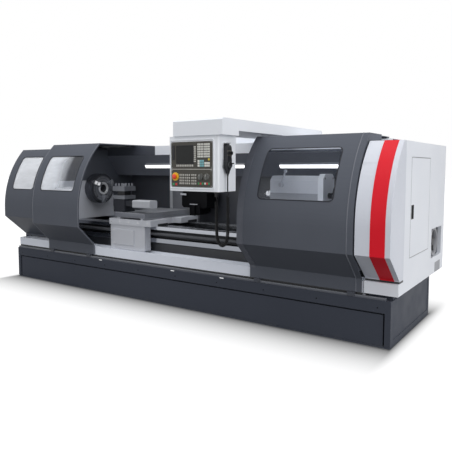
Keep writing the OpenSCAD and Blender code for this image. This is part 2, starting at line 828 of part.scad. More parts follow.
module rear_hood() color("whitesmoke") placed() {
    along_x([hood_x0, hood_x1])
        difference() {
            polygon([[hood_y, lip_low], [hood_y, hood_top], [hood_back, hood_top],
                [hood_back, ledge_z - sheet_t], [wall_y + sheet_t, ledge_z - sheet_t],
                [wall_y + sheet_t, ledge_z], [hood_y + cabinet_t, ledge_z], [hood_y + cabinet_t, lip_low]]);
            translate([hood_y + cabinet_t, ledge_z])
                square([hood_back - hood_y - 2 * cabinet_t, hood_top - ledge_z - cabinet_t]);
        }
    for (x = [hood_x0, hood_x1 - cabinet_t])
        block([x, x + cabinet_t], [slope_y + 8, hood_back - EPS], [ledge_z, hood_top - EPS]);
}

// LED bars on the slope of the rear guard: a body seated on the slope
module work_lamps() color("white") placed() {
    slope = [slope_y - hood_y - cabinet_t, ledge_z - sheet_t - lip_low];
    down = slope / norm(slope);
    out = [down[1], -down[0]];
    mid = [hood_y + cabinet_t, lip_low] + slope / 2 + out * lamp_seat;
    for (x = [[face_x + 652, right_door_x - 524], [right_door_x - 112, right_door_x + 496]])
        along_x(x)
            polygon([mid - down * lamp_h / 2, mid + down * lamp_h / 2,
                mid + down * lamp_h / 3 + out * lamp_t, mid - down * lamp_h / 3 + out * lamp_t]);
}

module left_guard() color("dimgray") placed()
    difference() {
        union() {
            along_x([0, face_x - 15]) {
                bent_sheet(guard_shape, 0, sheet_t, lip_top + 20, wall_y + sheet_t);
                translate([wall_y, floor_z]) square([sheet_t, guard_shape[4] - floor_z]);
                // Track that carries the roof glides of the left door on from the hood
                translate([roof_glide_y - track_rim, guard_shape[4] - EPS])
                    square([roof_glide_w + 2 * track_rim, hood_top - guard_shape[4] + EPS]);
            }
            difference() {
                along_x([0, sheet_t]) section(guard_shape, 0, lip_top, wall_y);
                block([-EPS, sheet_t + EPS], [0, tray_back], [0, lip_top]);
            }
        }
        window_cut(guard_window_x, guard_window_w, window_h, 0);
    }

module left_guard_window() color("lightblue") placed()
    pane(guard_shape, guard_window_x, guard_window_w, window_h);

module end_cover() color("whitesmoke") placed() {
    along_x([cover_x, end_x]) bent_sheet(cover_shape, 0, cabinet_t, shelf_z, cabinet_y);
    for (x = [cover_x, end_x - cabinet_t])
        along_x([x, x + cabinet_t]) section(cover_shape, 0, shelf_z, cabinet_y);
}

module red_band() color("crimson") placed()
    along_x([end_x - band_rim - band_w, end_x - band_rim])
        bent_sheet(cover_shape, -band_t, 0, shelf_z + 2, cabinet_y);

module electrical_cabinet() color("whitesmoke") placed() {
    difference() {
        along_x([cover_x, end_x])
            polygon([[lip_y, lip_z], [cabinet_back, lip_z], [cabinet_back, cover_top], [cabinet_y, cover_top],
                [cabinet_y, shelf_z], [lip_y, shelf_z]]);
        block([cover_x + cabinet_t, end_x - cabinet_t], [cabinet_y + cabinet_t, cabinet_back - cabinet_t],
            [lip_z + cabinet_t, cover_top - cabinet_t]);
        block([end_x - cabinet_t - EPS, end_x + EPS],
            [cab_door_y0 - cab_slot, cab_door_y1 + barrel_r + cab_slot],
            [cab_door_z0 - cab_slot, cab_door_z1 + cab_slot]);
        block([end_x - cabinet_t - EPS, end_x + EPS], [fan_y - fan_opening_w / 2, fan_y + fan_opening_w / 2],
            [fan_z - fan_opening_h / 2, fan_z + fan_opening_h / 2]);
    }
    // Hinge pins at the top and bottom of the door
    for (z = [cab_door_z0 - cab_slot - hinge_lug, cab_door_z1 - hinge_pin])
        rod_z(cab_axis_x, cab_axis_y, [z, z + hinge_lug + cab_slot + hinge_pin], barrel_r / 2);
    for (z = [cab_door_z0 - cab_slot - hinge_lug, cab_door_z1 + cab_slot])
        block([cab_axis_x - barrel_r, end_x - EPS], [cab_axis_y - 6, cab_axis_y + 6], [z, z + hinge_lug]);
    // Mounting plate with the drive modules
    block([cover_x + cabinet_t - EPS, plate_x], [cabinet_y + 110, cabinet_back - 110],
        [lip_z + 60, cover_top - 90]);
    for (i = [0 : 3], j = [0 : 1])
        translate([plate_x - EPS, cabinet_y + module_step * (i + 1), cab_door_z0 + 60 + module_rise * j])
            cube([106 + EPS, module_w, module_h]);
    // Fan carrier
    difference() {
        union() {
            block([end_x - 92, end_x - 76], [fan_y - 16, fan_y + 16], [lip_z + cabinet_t - EPS, fan_z + 24]);
            rod_x([end_x - 104, end_x - 76], fan_y, fan_z, 24);
        }
        rod_x([end_x - 105, end_x - 75], fan_y, fan_z, fan_shaft_r + fit);
    }
}

module overhead_arm() color("whitesmoke") placed() {
    along_x([arm_x, arm_x + arm_w])
        polygon([[-arm_front, box_z1], [-arm_front, arm_z1 - arm_cut], [arm_cut - arm_front, arm_z1],
            [arm_back - arm_cut, arm_z1], [arm_back, arm_z1 - arm_cut], [arm_back, arm_z0],
            [arm_head_l - arm_front, arm_z0], [arm_head_l - arm_front, box_z1]]);
    block([arm_x + 40, arm_x + arm_w - 40], [arm_back - foot_l, arm_back - 15], [hood_top, arm_z0 + EPS]);
    // Cable box beside the foot of the arm
    block([arm_x - cable_box_w, arm_x + 40 + EPS], [arm_back - foot_l, arm_back - 15],
        [hood_top, arm_z0 + cable_box_rise]);
}

module control_box() color("whitesmoke") placed()
    difference() {
        along_z([box_z0, box_z1]) polygon(rounded([box_x, box_x1], [panel_y, panel_y + box_d], box_r));
        rod_y(estop_x, [panel_y - EPS, panel_y + 30], control_z, stem_r + 1);
        for (x = [feed_x, speed_x])
            rod_y(x, [panel_y - EPS, panel_y + 20], control_z, knob_stem_r + 1);
    }

module operator_panel() color("darkslategray") placed()
    difference() {
        union() {
            along_y([panel_front, panel_y])
                polygon(rounded([panel_x, panel_x + panel_w], [panel_z0, panel_z0 + panel_h], 8));
            rod_y(estop_x, [panel_front - collar_h, panel_y], control_z, estop_d / 2 + 15);
        }
        rod_y(estop_x, [panel_front - collar_h - EPS, panel_y + EPS], control_z, stem_r + fit);
        for (x = [feed_x, speed_x])
            rod_y(x, [panel_front - EPS, panel_y + EPS], control_z, knob_stem_r + fit);
    }

// Panel rectangle given as [x from, x to, z from, z to] at the drawn size
function on_panel_x(r) = [panel_x + r[0] * key_sx, panel_x + r[1] * key_sx];
function on_panel_z(r) = [panel_z0 + r[2] * key_sz, panel_z0 + r[3] * key_sz];

module display_screen() color("black") placed()
    along_y([panel_front - key_h, panel_front])
        polygon(rounded(on_panel_x(SCREEN_AT), on_panel_z(SCREEN_AT), 4));

// Grid of keys between two panel corners, with a gap between keys
module key_grid(g) {
    x = on_panel_x(g);
    z = on_panel_z(g);
    gap = g[6];
    w = (x[1] - x[0] + gap) / g[4];
    h = (z[1] - z[0] + gap) / g[5];
    for (i = [0 : g[4] - 1], j = [0 : g[5] - 1])
        translate([x[0] + i * w, panel_front - key_h, z[0] + j * h]) cube([w - gap, key_h, h - gap]);
}

module panel_keys() color("lightgray") placed()
    for (g = KEY_GROUPS) key_grid(g);

module pendant_hook() color("gray") placed() {
    block([box_x1, box_x1 + 8], [pendant_cy - 30, pendant_cy + 30], [pendant_z0 + 60, pendant_z1 + 18]);
    block([box_x1, pendant_x1 - 10], [pendant_cy - 30, pendant_cy + 30], [pendant_z1 + 14, pendant_z1 + 18]);
}

module pendant_body() color("black") placed()
    difference() {
        union() {
            along_x([pendant_x, pendant_x1])
                polygon(rounded([pendant_cy - pendant_w / 2, pendant_cy + pendant_w / 2],
                    [pendant_z0 + 18, pendant_z1], 16));
            along_x([pendant_x + 8, pendant_x1 - 8])
                polygon(rounded([pendant_cy - 18, pendant_cy + 18], [pendant_z0, pendant_z0 + 40], 8));
            block([pendant_x + 8, pendant_x1 - 12], [pendant_cy - 20, pendant_cy + 20],
                [pendant_z1 - EPS, pendant_z1 + 14]);
        }
        rod_x([pendant_x1 - 20, pendant_x1 + EPS], pendant_cy, dial_z, 6 + fit);
        for (y = [pendant_cy - selector_off, pendant_cy + selector_off])
            rod_x([pendant_x1 - 14, pendant_x1 + EPS], y, selector_z, 3 + fit);
    }

function cord_r(i) = i < CORD_LEAD_RINGS ? lead_r : curl_d / 2;
function cord_dir(i) =
    let (n = len(CORD_ROUTE) - 1, d = CORD_ROUTE[min(i + 1, n)] - CORD_ROUTE[max(i - 1, 0)]) d / norm(d);

// Tube swept along the cord's middle line
module pendant_cord() color("black") placed() {
    n = len(CORD_ROUTE);
    m = CORD_SIDES;
    points = [for (i = [0 : n - 1], k = [0 : m - 1]) let (q = 360 * k / m, side = [0, 1, 0])
        CORD_ROUTE[i] + cord_r(i) * (cos(q) * side + sin(q) * cross(cord_dir(i), side))];
    sides = [for (i = [0 : n - 2], k = [0 : m - 1])
        [(i + 1) * m + k, (i + 1) * m + (k + 1) % m, i * m + (k + 1) % m, i * m + k]];
    top = [for (k = [0 : m - 1]) k];
    end = [for (k = [m - 1 : -1 : 0]) (n - 1) * m + k];
    polyhedron(points, concat([top], sides, [end]), convexity = 6);
}

module cord_gland() color("black") placed() {
    rod_z(gland_x, pendant_cy, [box_z0 - 16, box_z0], gland_r + 4);
    rod_z(gland_x, pendant_cy, [box_z0 - gland_l, box_z0], gland_r);
}

// Square feed motor with a round front flange and a cap
module servo(x, y, z)
    union() {
        along_x([x[0] + 60, x[1] - 15])
            polygon(chamfered([y - servo_w / 2, y + servo_w / 2], [z - servo_w / 2, z + servo_w / 2], 14));
        along_x([x[0], x[0] + 60]) polygon(chamfered([y - servo_w / 2 + 10, y + servo_w / 2 - 10],
            [z - servo_w / 2 + 10, z + servo_w / 2 - 10], 20));
        rod_x([x[1] - 15 - EPS, x[1]], y, z, servo_w / 2 - 20);
    }

module z_drive_motor() color("black") placed()
    difference() {
        union() {
            servo([servo_x1 - servo_l, servo_x1], screw_y, screw_z);
            rod_x([servo_x1 - EPS, screw_x0], screw_y, screw_z, 30);
        }
        rod_x([servo_x1 - 40, screw_x0 + EPS], screw_y, screw_z, screw_journal_r + fit);
    }

// Sliding doors

module left_door() color("dimgray") placed()
    door_shell(left_door_x, left_door_w, left_roof, edge_fold, left_window_x, left_window_w, window_h);

module left_door_window() color("lightblue") placed()
    pane(door_shape, left_window_x, left_window_w, window_h);

module left_door_glides() color("ivory") placed()
    for (x = [left_door_x + 50, left_door_x + left_door_w - 50 - glide_l]) {
        rail_glide(x);
        roof_glide(x);
    }

module right_door() color("dimgray") placed() {
    door_shell(right_door_x, right_door_w, right_roof, end_fold, right_window_x, right_window_w,
        right_window_h);
    block([right_door_x, right_door_x + right_door_w], [right_roof - sheet_t, right_roof],
        [door_top - roof_drop, door_top - EPS]);
    for (x = [right_door_x + 50, right_door_x + right_door_w - 50 - door_arm_w])
        block([x, x + door_arm_w], [right_roof - EPS, roof_glide_y + roof_glide_w + 10],
            [door_top - sheet_t, door_top]);
}

module right_door_window() color("lightblue") placed()
    pane(door_shape, right_window_x, right_window_w, right_window_h);

// Leading-edge strip on the left of the right door
module right_door_edge() color("black") placed()
    along_x([right_door_x, right_door_x + edge_strip_w])
        bent_sheet(door_shape, -edge_strip_t, 0, skirt_top - 20, brow_y + 60);

module right_door_glides() color("ivory") placed()
    for (x = [right_door_x + 50, right_door_x + right_door_w - 50 - glide_l]) {
        rail_glide(x);
        roof_glide(x);
    }

// Spindle

module spindle() color("silver") placed()
    difference() {
        union() {
            rod_x([belt_x - 15, face_x + nose_gap + EPS], axis_y, axis_z, journal_d / 2);
            rod_x([face_x + nose_gap, chuck_x0], axis_y, axis_z, nose_d / 2);
            rod_x([belt_x - flange_t, belt_x + belt_w + flange_t], axis_y, axis_z, spindle_pulley_d / 2);
            for (x = [belt_x - 2 * flange_t, belt_x + belt_w + flange_t])
                rod_x([x, x + flange_t], axis_y, axis_z, spindle_pulley_d / 2 + flange_rise);
        }
        rod_x([0, chuck_x0 + EPS], axis_y, axis_z, bore_d / 2);
    }

module chuck_body() color("lightgray") placed()
    difference() {
        union() {
            rod_x([chuck_x0, chuck_x1 - 12], axis_y, axis_z, chuck_d / 2);
            rod_x([chuck_x1 - 12 - EPS, chuck_x1], axis_y, axis_z, chuck_d / 2 - 8);
            rod_x([chuck_x1 - EPS, chuck_x1 + ring_h], axis_y, axis_z, ring_d / 2);
        }
        rod_x([chuck_x0 - EPS, chuck_x1 + ring_h + EPS], axis_y, axis_z, bore_d / 2);
        for (a = jaw_angles)
            translate([chuck_x1 - jaw_depth, axis_y, axis_z]) rotate([a, 0, 0])
                translate([0, ring_d / 2 - 1, -jaw_slot / 2]) cube([jaw_depth + EPS, chuck_d / 2, jaw_slot]);
        // Key sockets on the rim, one behind each jaw
        for (a = jaw_angles)
            translate([chuck_x0 + 0.45 * chuck_l, axis_y, axis_z]) rotate([a, 0, 0])
                translate([0, chuck_d / 2 - key_socket_d, 0]) rotate([-90, 0, 0])
                    cylinder(h = key_socket_d + EPS, d = key_socket_d);
    }

// Stepped jaw that slides along its slot
module chuck_jaw(a) color("silver") placed()
    translate([chuck_x1, axis_y, axis_z]) rotate([a, 0, 0]) {
        block([jaw_gap - jaw_depth, jaw_gap + EPS], [jaw_r0, jaw_r0 + jaw_l],
            [jaw_gap - jaw_slot / 2, jaw_slot / 2 - jaw_gap]);
        along_z([-jaw_slot / 2 - jaw_foot, jaw_slot / 2 + jaw_foot])
            polygon([[jaw_gap, jaw_r0], [jaw_gap, jaw_r0 + jaw_l], [jaw_h / 3, jaw_r0 + jaw_l],
                [jaw_h / 3, jaw_r0 + jaw_l * 2 / 3], [jaw_h * 2 / 3, jaw_r0 + jaw_l * 2 / 3],
                [jaw_h * 2 / 3, jaw_r0 + jaw_l / 3], [jaw_h, jaw_r0 + jaw_l / 3], [jaw_h, jaw_r0]]);
    }

module chuck_jaw_1() chuck_jaw(jaw_angles[0]);
module chuck_jaw_2() chuck_jaw(jaw_angles[1]);
module chuck_jaw_3() chuck_jaw(jaw_angles[2]);

module motor_pulley() color("silver") placed() {
    rod_x([belt_x - flange_t, belt_x + belt_w + flange_t], motor_y, motor_z, motor_pulley_d / 2);
    for (x = [belt_x - 2 * flange_t, belt_x + belt_w + flange_t])
        rod_x([x, x + flange_t], motor_y, motor_z, motor_pulley_d / 2 + flange_rise);
    rod_x([belt_x, motor_x + 80], motor_y, motor_z, motor_shaft_r);
}

// Carriage

module saddle() color("silver") placed() {
    along_z([saddle_z0, saddle_z1])
        polygon([
            [saddle_x, saddle_y], [saddle_x + saddle_w, saddle_y], [saddle_x + saddle_w, wing_y0],
            [bridge_x + bridge_w, wing_y0 + wing_cut], [bridge_x + bridge_w, wing_y1 - wing_cut],
            [saddle_x + saddle_w, wing_y1], [saddle_x + saddle_w, saddle_back], [saddle_x, saddle_back],
            [saddle_x, wing_y1], [bridge_x, wing_y1 - wing_cut],
            [bridge_x, wing_y0 + wing_cut], [saddle_x, wing_y0]
        ]);
    for (x = [bridge_x + 30, bridge_x + bridge_w - 30 - guide_w])
        block([x, x + guide_w], [saddle_y + 10, saddle_back], [saddle_z1 - EPS, slide_z0 - slide_gap]);
    block([saddle_x, saddle_x + saddle_w], [bed_y1 + 2, saddle_back], [rail_z - 6, saddle_z0 + EPS]);
}

module apron() color("silver") placed()
    difference() {
        union() {
            along_y([apron_y, apron_back])
                polygon(chamfered([apron_x, apron_x + apron_w], [apron_z, saddle_z0], 10));
            block(nut_x, [apron_back - EPS, screw_y], [screw_z - nut_d / 2, screw_z + nut_d / 2]);
            rod_x(nut_x, screw_y, screw_z, nut_d / 2);
            along_y([apron_y - apron_cover_t, apron_y + EPS])
                polygon(rounded([apron_x + 40, apron_x + apron_w - 150], [apron_z + 50, saddle_z0 - 50], 14));
        }
        rod_x([apron_x - EPS, apron_x + apron_w + EPS], screw_y, screw_z, screw_d / 2 + slide_gap);
    }

module x_drive_motor() color("black") placed() {
    y0 = saddle_back - 60;
    z0 = saddle_z1 + servo_w / 2;
    translate([0, y0, 0]) {
        along_y([20, 175])
            polygon(chamfered([x_servo_x, x_servo_x + servo_w],
                [z0 - servo_w / 2 + 6, z0 + servo_w / 2 + 6], 14));
        along_y([175, 230])
            polygon(chamfered([x_servo_x + 10, x_servo_x + servo_w - 10],
                [z0 - servo_w / 2 + 16, z0 + servo_w / 2 - 4], 20));
        block([x_servo_x, saddle_x + saddle_w - 2], [0, 21], [saddle_z1, z0 + servo_w / 2 + 6]);
        // Terminal box over the motor, clear of the cross slide below
        along_y([30, 240])
            polygon(chamfered([x_servo_x - terminal_left, x_servo_x + servo_w + terminal_right],
                [slide_z1 + terminal_gap, slide_z1 + terminal_gap + terminal_h], 24));
    }
}

module z_ball_screw() color("silver") placed() {
    x0 = screw_x0 + screw_block_l;
    x1 = bed_x1 - screw_block_l;
    rod_x([x0 + slide_gap, x1 - slide_gap], screw_y, screw_z, screw_d / 2);
    rod_x([servo_x1 - 30, x0 + EPS], screw_y, screw_z, screw_journal_r);
    rod_x([x1 - EPS, bed_x1 + 5], screw_y, screw_z, screw_journal_r);
}

module cross_slide() color("gray") placed()
    difference() {
        block([slide_x, slide_x + slide_w], [saddle_y, saddle_y + slide_l], [slide_z0, slide_z1]);
        for (i = [1 : 3])
            along_y([saddle_y + turret_w + 60, saddle_y + slide_l + EPS])
                translate([slide_x + slide_w * i / 4, slide_z1])
                    polygon(t_slot);
    }

module turret_base() color("lightgray") placed()
    difference() {
        union() {
            along_z([slide_z1, turret_z0 - slide_gap])
                polygon(chamfered([turret_x + turret_base_in, turret_x + turret_w - turret_base_in],
                    [turret_y + turret_base_in, turret_y + turret_w - turret_base_in], plate_cut));
            block([turret_x + turret_w / 2, turret_x + turret_w + 120], [turret_y + 24, turret_y + 86],
                [slide_z1 + 62, slide_z1 + 118]);
            along_x([turret_x + turret_w + 117, turret_x + turret_w + turret_drive_l])
                polygon(chamfered([turret_y, turret_y + 110], [slide_z1 + 50, slide_z1 + 130], 10));
        }
        rod_z(turret_cx, turret_cy, [turret_z0 - turret_stud_l - 2, turret_z0 + EPS], turret_stud_r + fit);
    }

module turret_plate(z)
    along_z(z) polygon(chamfered([turret_x, turret_x + turret_w], [turret_y, turret_y + turret_w], plate_cut));

module turret_head() color("silver") placed() {
    z1 = turret_z0 + turret_low_t;
    z2 = z1 + tool_slot;
    z3 = z2 + turret_top_t;
    rod_z(turret_cx, turret_cy, [turret_z0 - turret_stud_l, turret_z0 + EPS], turret_stud_r);
    turret_plate([turret_z0, z1]);
    turret_plate([z2, z3]);
    along_z([z1 - EPS, z2 + EPS])
        polygon(chamfered([turret_cx - turret_core / 2, turret_cx + turret_core / 2],
            [turret_cy - turret_core / 2, turret_cy + turret_core / 2], plate_cut));
    rod_z(turret_cx, turret_cy, [z3 - EPS, z3 + 26], 30);
    // Clamp screws along the four edges
    for (a = [0 : 90 : 270], i = [-1 : 1])
        translate([turret_cx, turret_cy, z3 - EPS]) rotate([0, 0, a])
            translate([i * turret_w / 4, turret_w / 2 - 16, 0]) cylinder(h = 28 + EPS, r = 8);
}

// Tailstock

module tailstock_body() color("lightgray") placed()
    difference() {
        union() {
            block([tail_base_x, tail_base_x + tail_base_l], [inner_y0, inner_y1],
                [way_z + slide_gap, way_z + tail_base_h]);
            along_x([tail_x + 30, tail_x1])
                polygon([[inner_y0 + 20, way_z + tail_base_h - EPS], [inner_y1 - 20, way_z + tail_base_h - EPS],
                    [barrel_y1 - 20, barrel_z0 - 40], [barrel_y1 - 20, barrel_z0 + EPS],
                    [barrel_y0 + 20, barrel_z0 + EPS], [barrel_y0 + 20, barrel_z0 - 40]]);
            along_x([tail_x, tail_x1])
                polygon(chamfered([barrel_y0, barrel_y1], [barrel_z0, barrel_z1], barrel_cut));
            along_x([tail_x1 - EPS, flange_x1])
                polygon(chamfered([barrel_y0 - flange_out, barrel_y1 + flange_out],
                    [barrel_z0 - flange_out, barrel_z1 + flange_out], barrel_cut));
        }
        rod_x([tail_x - EPS, tail_x + quill_l], axis_y, axis_z, quill_d / 2 + fit);
        rod_x([tail_x, flange_x1 + EPS], axis_y, axis_z, wheel_shaft_r + fit);
        rod_y(lever_x, [barrel_y0 - EPS, barrel_y0 + 26], lever_z, lever_pin_r + fit);
    }

module quill() color("silver") placed()
    difference() {
        union() {
            rod_x([quill_x0 + 4, quill_x0 + quill_l], axis_y, axis_z, quill_d / 2);
            rod_x([quill_x0, quill_x0 + 4 + EPS], axis_y, axis_z, quill_d / 2 - 4);
        }
        rod_x([quill_x0 - EPS, quill_x0 + shank_l + 6], axis_y, axis_z, shank_r + fit);
    }

module live_centre() color("silver") placed() {
    rod_x([quill_x0 - slide_gap - EPS, quill_x0 + shank_l], axis_y, axis_z, shank_r);
    rod_x([quill_x0 - centre_l * 0.45, quill_x0 - slide_gap], axis_y, axis_z, centre_r);
    translate([quill_x0 - centre_l, axis_y, axis_z]) rotate([0, 90, 0])
        cylinder(h = centre_l * 0.55 + EPS, r1 = 1, r2 = centre_r * 0.72);
}

module tailstock_handwheel() color("silver") placed() {
    rod_x([flange_x1 - 100, wheel_x + 40], axis_y, axis_z, wheel_shaft_r);
    rod_x([flange_x1 + slide_gap, wheel_x - 8], axis_y, axis_z, wheel_shaft_r + 14);
    rod_x([wheel_x - 9, wheel_x + 34], axis_y, axis_z, 32);
    translate([wheel_x + 24, axis_y, axis_z]) rotate([0, 90, 0])
        rotate_extrude() translate([wheel_d / 2 - rim_r, 0]) circle(r = rim_r, $fn = 32);
    for (a = [90, 210, 330])
        translate([wheel_x + 12, axis_y, axis_z]) rotate([a, 0, 0])
            translate([0, 20, 0]) rotate([-90, 0, 0]) cylinder(h = wheel_d / 2 - rim_r - 20, r = 8);
    handle_at = (wheel_d / 2 - rim_r) * [-cos(45), sin(45)];
    rod_x([wheel_x + 24, wheel_x + 24 + wheel_handle_l], axis_y + handle_at[0], axis_z + handle_at[1], 9);
}

module quill_lock_lever() color("black") placed() {
    rod_y(lever_x, [barrel_y0 - 26, barrel_y0 + 24], lever_z, lever_pin_r);
    rod_y(lever_x, [barrel_y0 - 26, barrel_y0 - slide_gap], lever_z, 20);
    translate([lever_x, barrel_y0 - 16, lever_z]) rotate([0, 20, 0]) {
        cylinder(h = 130, r = 7);
        translate([0, 0, 130]) sphere(r = 16);
    }
}

// End cabinet moving parts

module cabinet_door() color("whitesmoke") placed()
    difference() {
        union() {
            block([end_x - cabinet_t, end_x], [cab_door_y0, cab_axis_y], [cab_door_z0, cab_door_z1]);
            rod_z(cab_axis_x, cab_axis_y, [cab_door_z0, cab_door_z1], barrel_r);
            for (z = [cab_door_z0 + 30, cab_door_z1 - 42])
                block([end_x - 24, end_x - EPS], [cab_door_y0 + 25, cab_axis_y - 40], [z, z + 12]);
        }
        for (z = [cab_door_z0 - EPS, cab_door_z1 - hinge_pin - 3])
            rod_z(cab_axis_x, cab_axis_y, [z, z + hinge_pin + 3 + EPS], barrel_r / 2 + fit);
        block([end_x - cabinet_t / 2, end_x + EPS], [cab_door_y0 + 40, cab_door_y0 + 40 + grip_w],
            [grip_z, grip_z + grip_h]);
    }

module fan_rotor() color("black") placed() {
    rod_x([end_x - 104, end_x - 30], fan_y, fan_z, fan_shaft_r);
    rod_x([end_x - 70, end_x - 30], fan_y, fan_z, 34);
    for (a = [0 : 72 : 288])
        translate([end_x - 50, fan_y, fan_z]) rotate([a, 0, 0])
            translate([0, 30, 0]) rotate([0, 35, 0])
                translate([-2, 0, -26]) cube([4, fan_d / 2 - 30, 52]);
}

// Controls

module estop_button() color("red") placed() {
    y0 = panel_front - collar_h;
    rod_y(estop_x, [y0 - estop_h + 14, panel_y + 16], control_z, stem_r);
    translate([estop_x, y0 - estop_h, control_z]) rotate([-90, 0, 0])
        rotate_extrude()
            polygon([[0, 0], [estop_d / 2 - 7, 0], [estop_d / 2, 6], [estop_d / 2, 14], [stem_r, 18], [0, 18]]);
}

// Override knob with a grip bar
module override_knob(x)
    union() {
        rod_y(x, [panel_front - slide_gap - EPS, panel_y + 14], control_z, knob_stem_r);
        rod_y(x, [panel_front - knob_h * 0.6, panel_front - slide_gap], control_z, knob_d / 2);
        block([x - knob_d * 0.14, x + knob_d * 0.14], [panel_front - knob_h, panel_front - knob_h * 0.6 + EPS],
            [control_z - knob_d * 0.44, control_z + knob_d * 0.44]);
    }

module feed_knob() color("black") placed() override_knob(feed_x);
module speed_knob() color("black") placed() override_knob(speed_x);

module pendant_wheel() color("silver") placed() {
    rod_x([pendant_x1 - 18, pendant_x1 + slide_gap + EPS], pendant_cy, dial_z, 6);
    rod_x([pendant_x1 + slide_gap, pendant_x1 + 8], pendant_cy, dial_z, dial_d / 2);
    rod_x([pendant_x1 + 7, pendant_x1 + 12], pendant_cy, dial_z, dial_d / 2 - 6);
    rod_x([pendant_x1 + 11, pendant_x1 + 30], pendant_cy + dial_d / 4, dial_z + dial_d / 6, 5);
}

module selector(y)
    union() {
        rod_x([pendant_x1 - 12, pendant_x1 + slide_gap + EPS], y, selector_z, 3);
        rod_x([pendant_x1 + slide_gap, pendant_x1 + 10], y, selector_z, selector_d / 2);
        block([pendant_x1 + 9, pendant_x1 + 16], [y - 3, y + 3],
            [selector_z - selector_d / 2 + 2, selector_z + selector_d / 2 - 2]);
    }

module pendant_axis_knob() color("black") placed() selector(pendant_cy - selector_off);
module pendant_rate_knob() color("black") placed() selector(pendant_cy + selector_off);

base_stand();
levelling_pads();
door_rail();
chip_tray();
bed();
headstock();
main_motor();
drive_belt();
headstock_bulkhead();
rear_guard();
rear_hood();
work_lamps();
left_guard();
left_guard_window();
end_cover();
red_band();
electrical_cabinet();
overhead_arm();
control_box();
operator_panel();
display_screen();
panel_keys();
pendant_hook();
pendant_body();
pendant_cord();
cord_gland();
z_drive_motor();
left_door();
left_door_window();
left_door_glides();
right_door();
right_door_window();
right_door_edge();
right_door_glides();
spindle();
chuck_body();
chuck_jaw_1();
chuck_jaw_2();
chuck_jaw_3();
motor_pulley();
saddle();
apron();
x_drive_motor();
z_ball_screw();
cross_slide();
turret_base();
turret_head();
tailstock_body();
quill();
live_centre();
tailstock_handwheel();
quill_lock_lever();
cabinet_door();
fan_rotor();
estop_button();
feed_knob();
speed_knob();
pendant_wheel();
pendant_axis_knob();
pendant_rate_knob();
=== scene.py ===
"""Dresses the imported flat-bed lathe: finishes on its solids, trim, keys, pendant, curly cord and stage."""

import math

import bmesh
import bpy
from bpy.props import FloatProperty, FloatVectorProperty, IntProperty, PointerProperty
from bpy.types import Operator, Panel, PropertyGroup
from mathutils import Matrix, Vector


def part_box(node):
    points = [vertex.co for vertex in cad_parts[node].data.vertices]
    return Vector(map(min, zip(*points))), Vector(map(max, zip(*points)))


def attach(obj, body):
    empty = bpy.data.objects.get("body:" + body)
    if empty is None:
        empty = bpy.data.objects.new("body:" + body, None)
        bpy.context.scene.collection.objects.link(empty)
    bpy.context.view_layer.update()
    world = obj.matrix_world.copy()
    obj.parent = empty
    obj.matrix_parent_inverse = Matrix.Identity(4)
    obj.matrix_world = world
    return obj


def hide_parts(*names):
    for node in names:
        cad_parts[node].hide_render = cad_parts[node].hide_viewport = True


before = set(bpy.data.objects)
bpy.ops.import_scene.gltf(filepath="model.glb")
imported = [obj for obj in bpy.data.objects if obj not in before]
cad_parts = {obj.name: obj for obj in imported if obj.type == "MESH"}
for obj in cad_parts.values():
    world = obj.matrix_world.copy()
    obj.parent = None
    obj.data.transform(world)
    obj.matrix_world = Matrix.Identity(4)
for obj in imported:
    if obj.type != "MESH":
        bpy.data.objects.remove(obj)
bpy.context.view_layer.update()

bl_info = {
    "name": "Flat-bed lathe dressing",
    "version": (1, 0, 0),
    "blender": (4, 5, 0),
    "location": "3D View > Sidebar > Lathe",
    "description": "Finishes, trim, keys, cord and stage for a flat-bed lathe",
    "category": "Object",
}

MM = 0.001
# Left front corner of the base on the floor: the working frame of the sizes below, in millimetres
ORIGIN = Vector((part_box("base_stand")[0].x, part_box("base_stand")[0].y, 0.0))

FRONT = Vector((0, -1, 0))
BACK = Vector((0, 1, 0))
RIGHT = Vector((1, 0, 0))
LEFT = Vector((-1, 0, 0))
UP = Vector((0, 0, 1))

# Guard outlines: bulge y, crease z, curve z, brow y, top z, foot y, foot z
DOOR = (-190, 708, 865, 125, 1600, 20, 497)
GUARD = (-161, 757, 850, 112, 1552, 114, 518)
SKIRT_Z = 392
WINDOW_R = 40
LEFT_DOOR_X = (590, 1377)
RIGHT_DOOR_X = (3374, 4370)
WINDOWS = (
    ("guard_window_seal", GUARD, (125, 525), (1084, 1462), "frame"),
    ("left_door_window_seal", DOOR, (705, 1273), (1084, 1462), "left_door"),
    ("right_door_window_seal", DOOR, (3555, 4207), (1084, 1492), "right_door"),
)

# Operator panel
PANEL_X, PANEL_Z, PANEL_Y = 2922, 1179, -481
PANEL_W, PANEL_H = 416, 363
KEY_H = 2.5
CONTROL_Z = PANEL_Z + 83
ESTOP_X, FEED_X, SPEED_X = PANEL_X + 44, PANEL_X + 306, PANEL_X + 367
SCREEN = (57, 231, 190, 329)
# Key groups: x from, x to, z from, z to, columns, rows, gap, and the colour of each column
KEY_GROUPS = (
    (273, 332, 236, 346, 4, 6, 4.5, ("white",)),
    (340, 393, 236, 346, 3, 6, 4.5, ("white",)),
    (274, 335, 163, 216, 3, 3, 3, ("white", "cyan", "cyan")),
    (342, 393, 163, 199, 3, 2, 3, ("white",)),
    (376, 393, 212, 228, 1, 1, 3, ("yellow",)),
    (236, 256, 200, 325, 1, 8, 5, ("grey",)),
    (55, 228, 164, 180, 10, 1, 6, ("grey",)),
    (88, 136, 22, 104, 3, 4, 8, ("grey",)),
    (148, 196, 22, 104, 3, 4, 8, ("grey",)),
    (211, 259, 22, 104, 3, 4, 8, ("grey",)),
    (276, 330, 22, 38, 3, 1, 4, ("green", "red", "green")),
    (340, 392, 22, 38, 3, 1, 4, ("white", "red", "green")),
    (12, 62, 12, 30, 2, 1, 10, ("green", "red")),
)

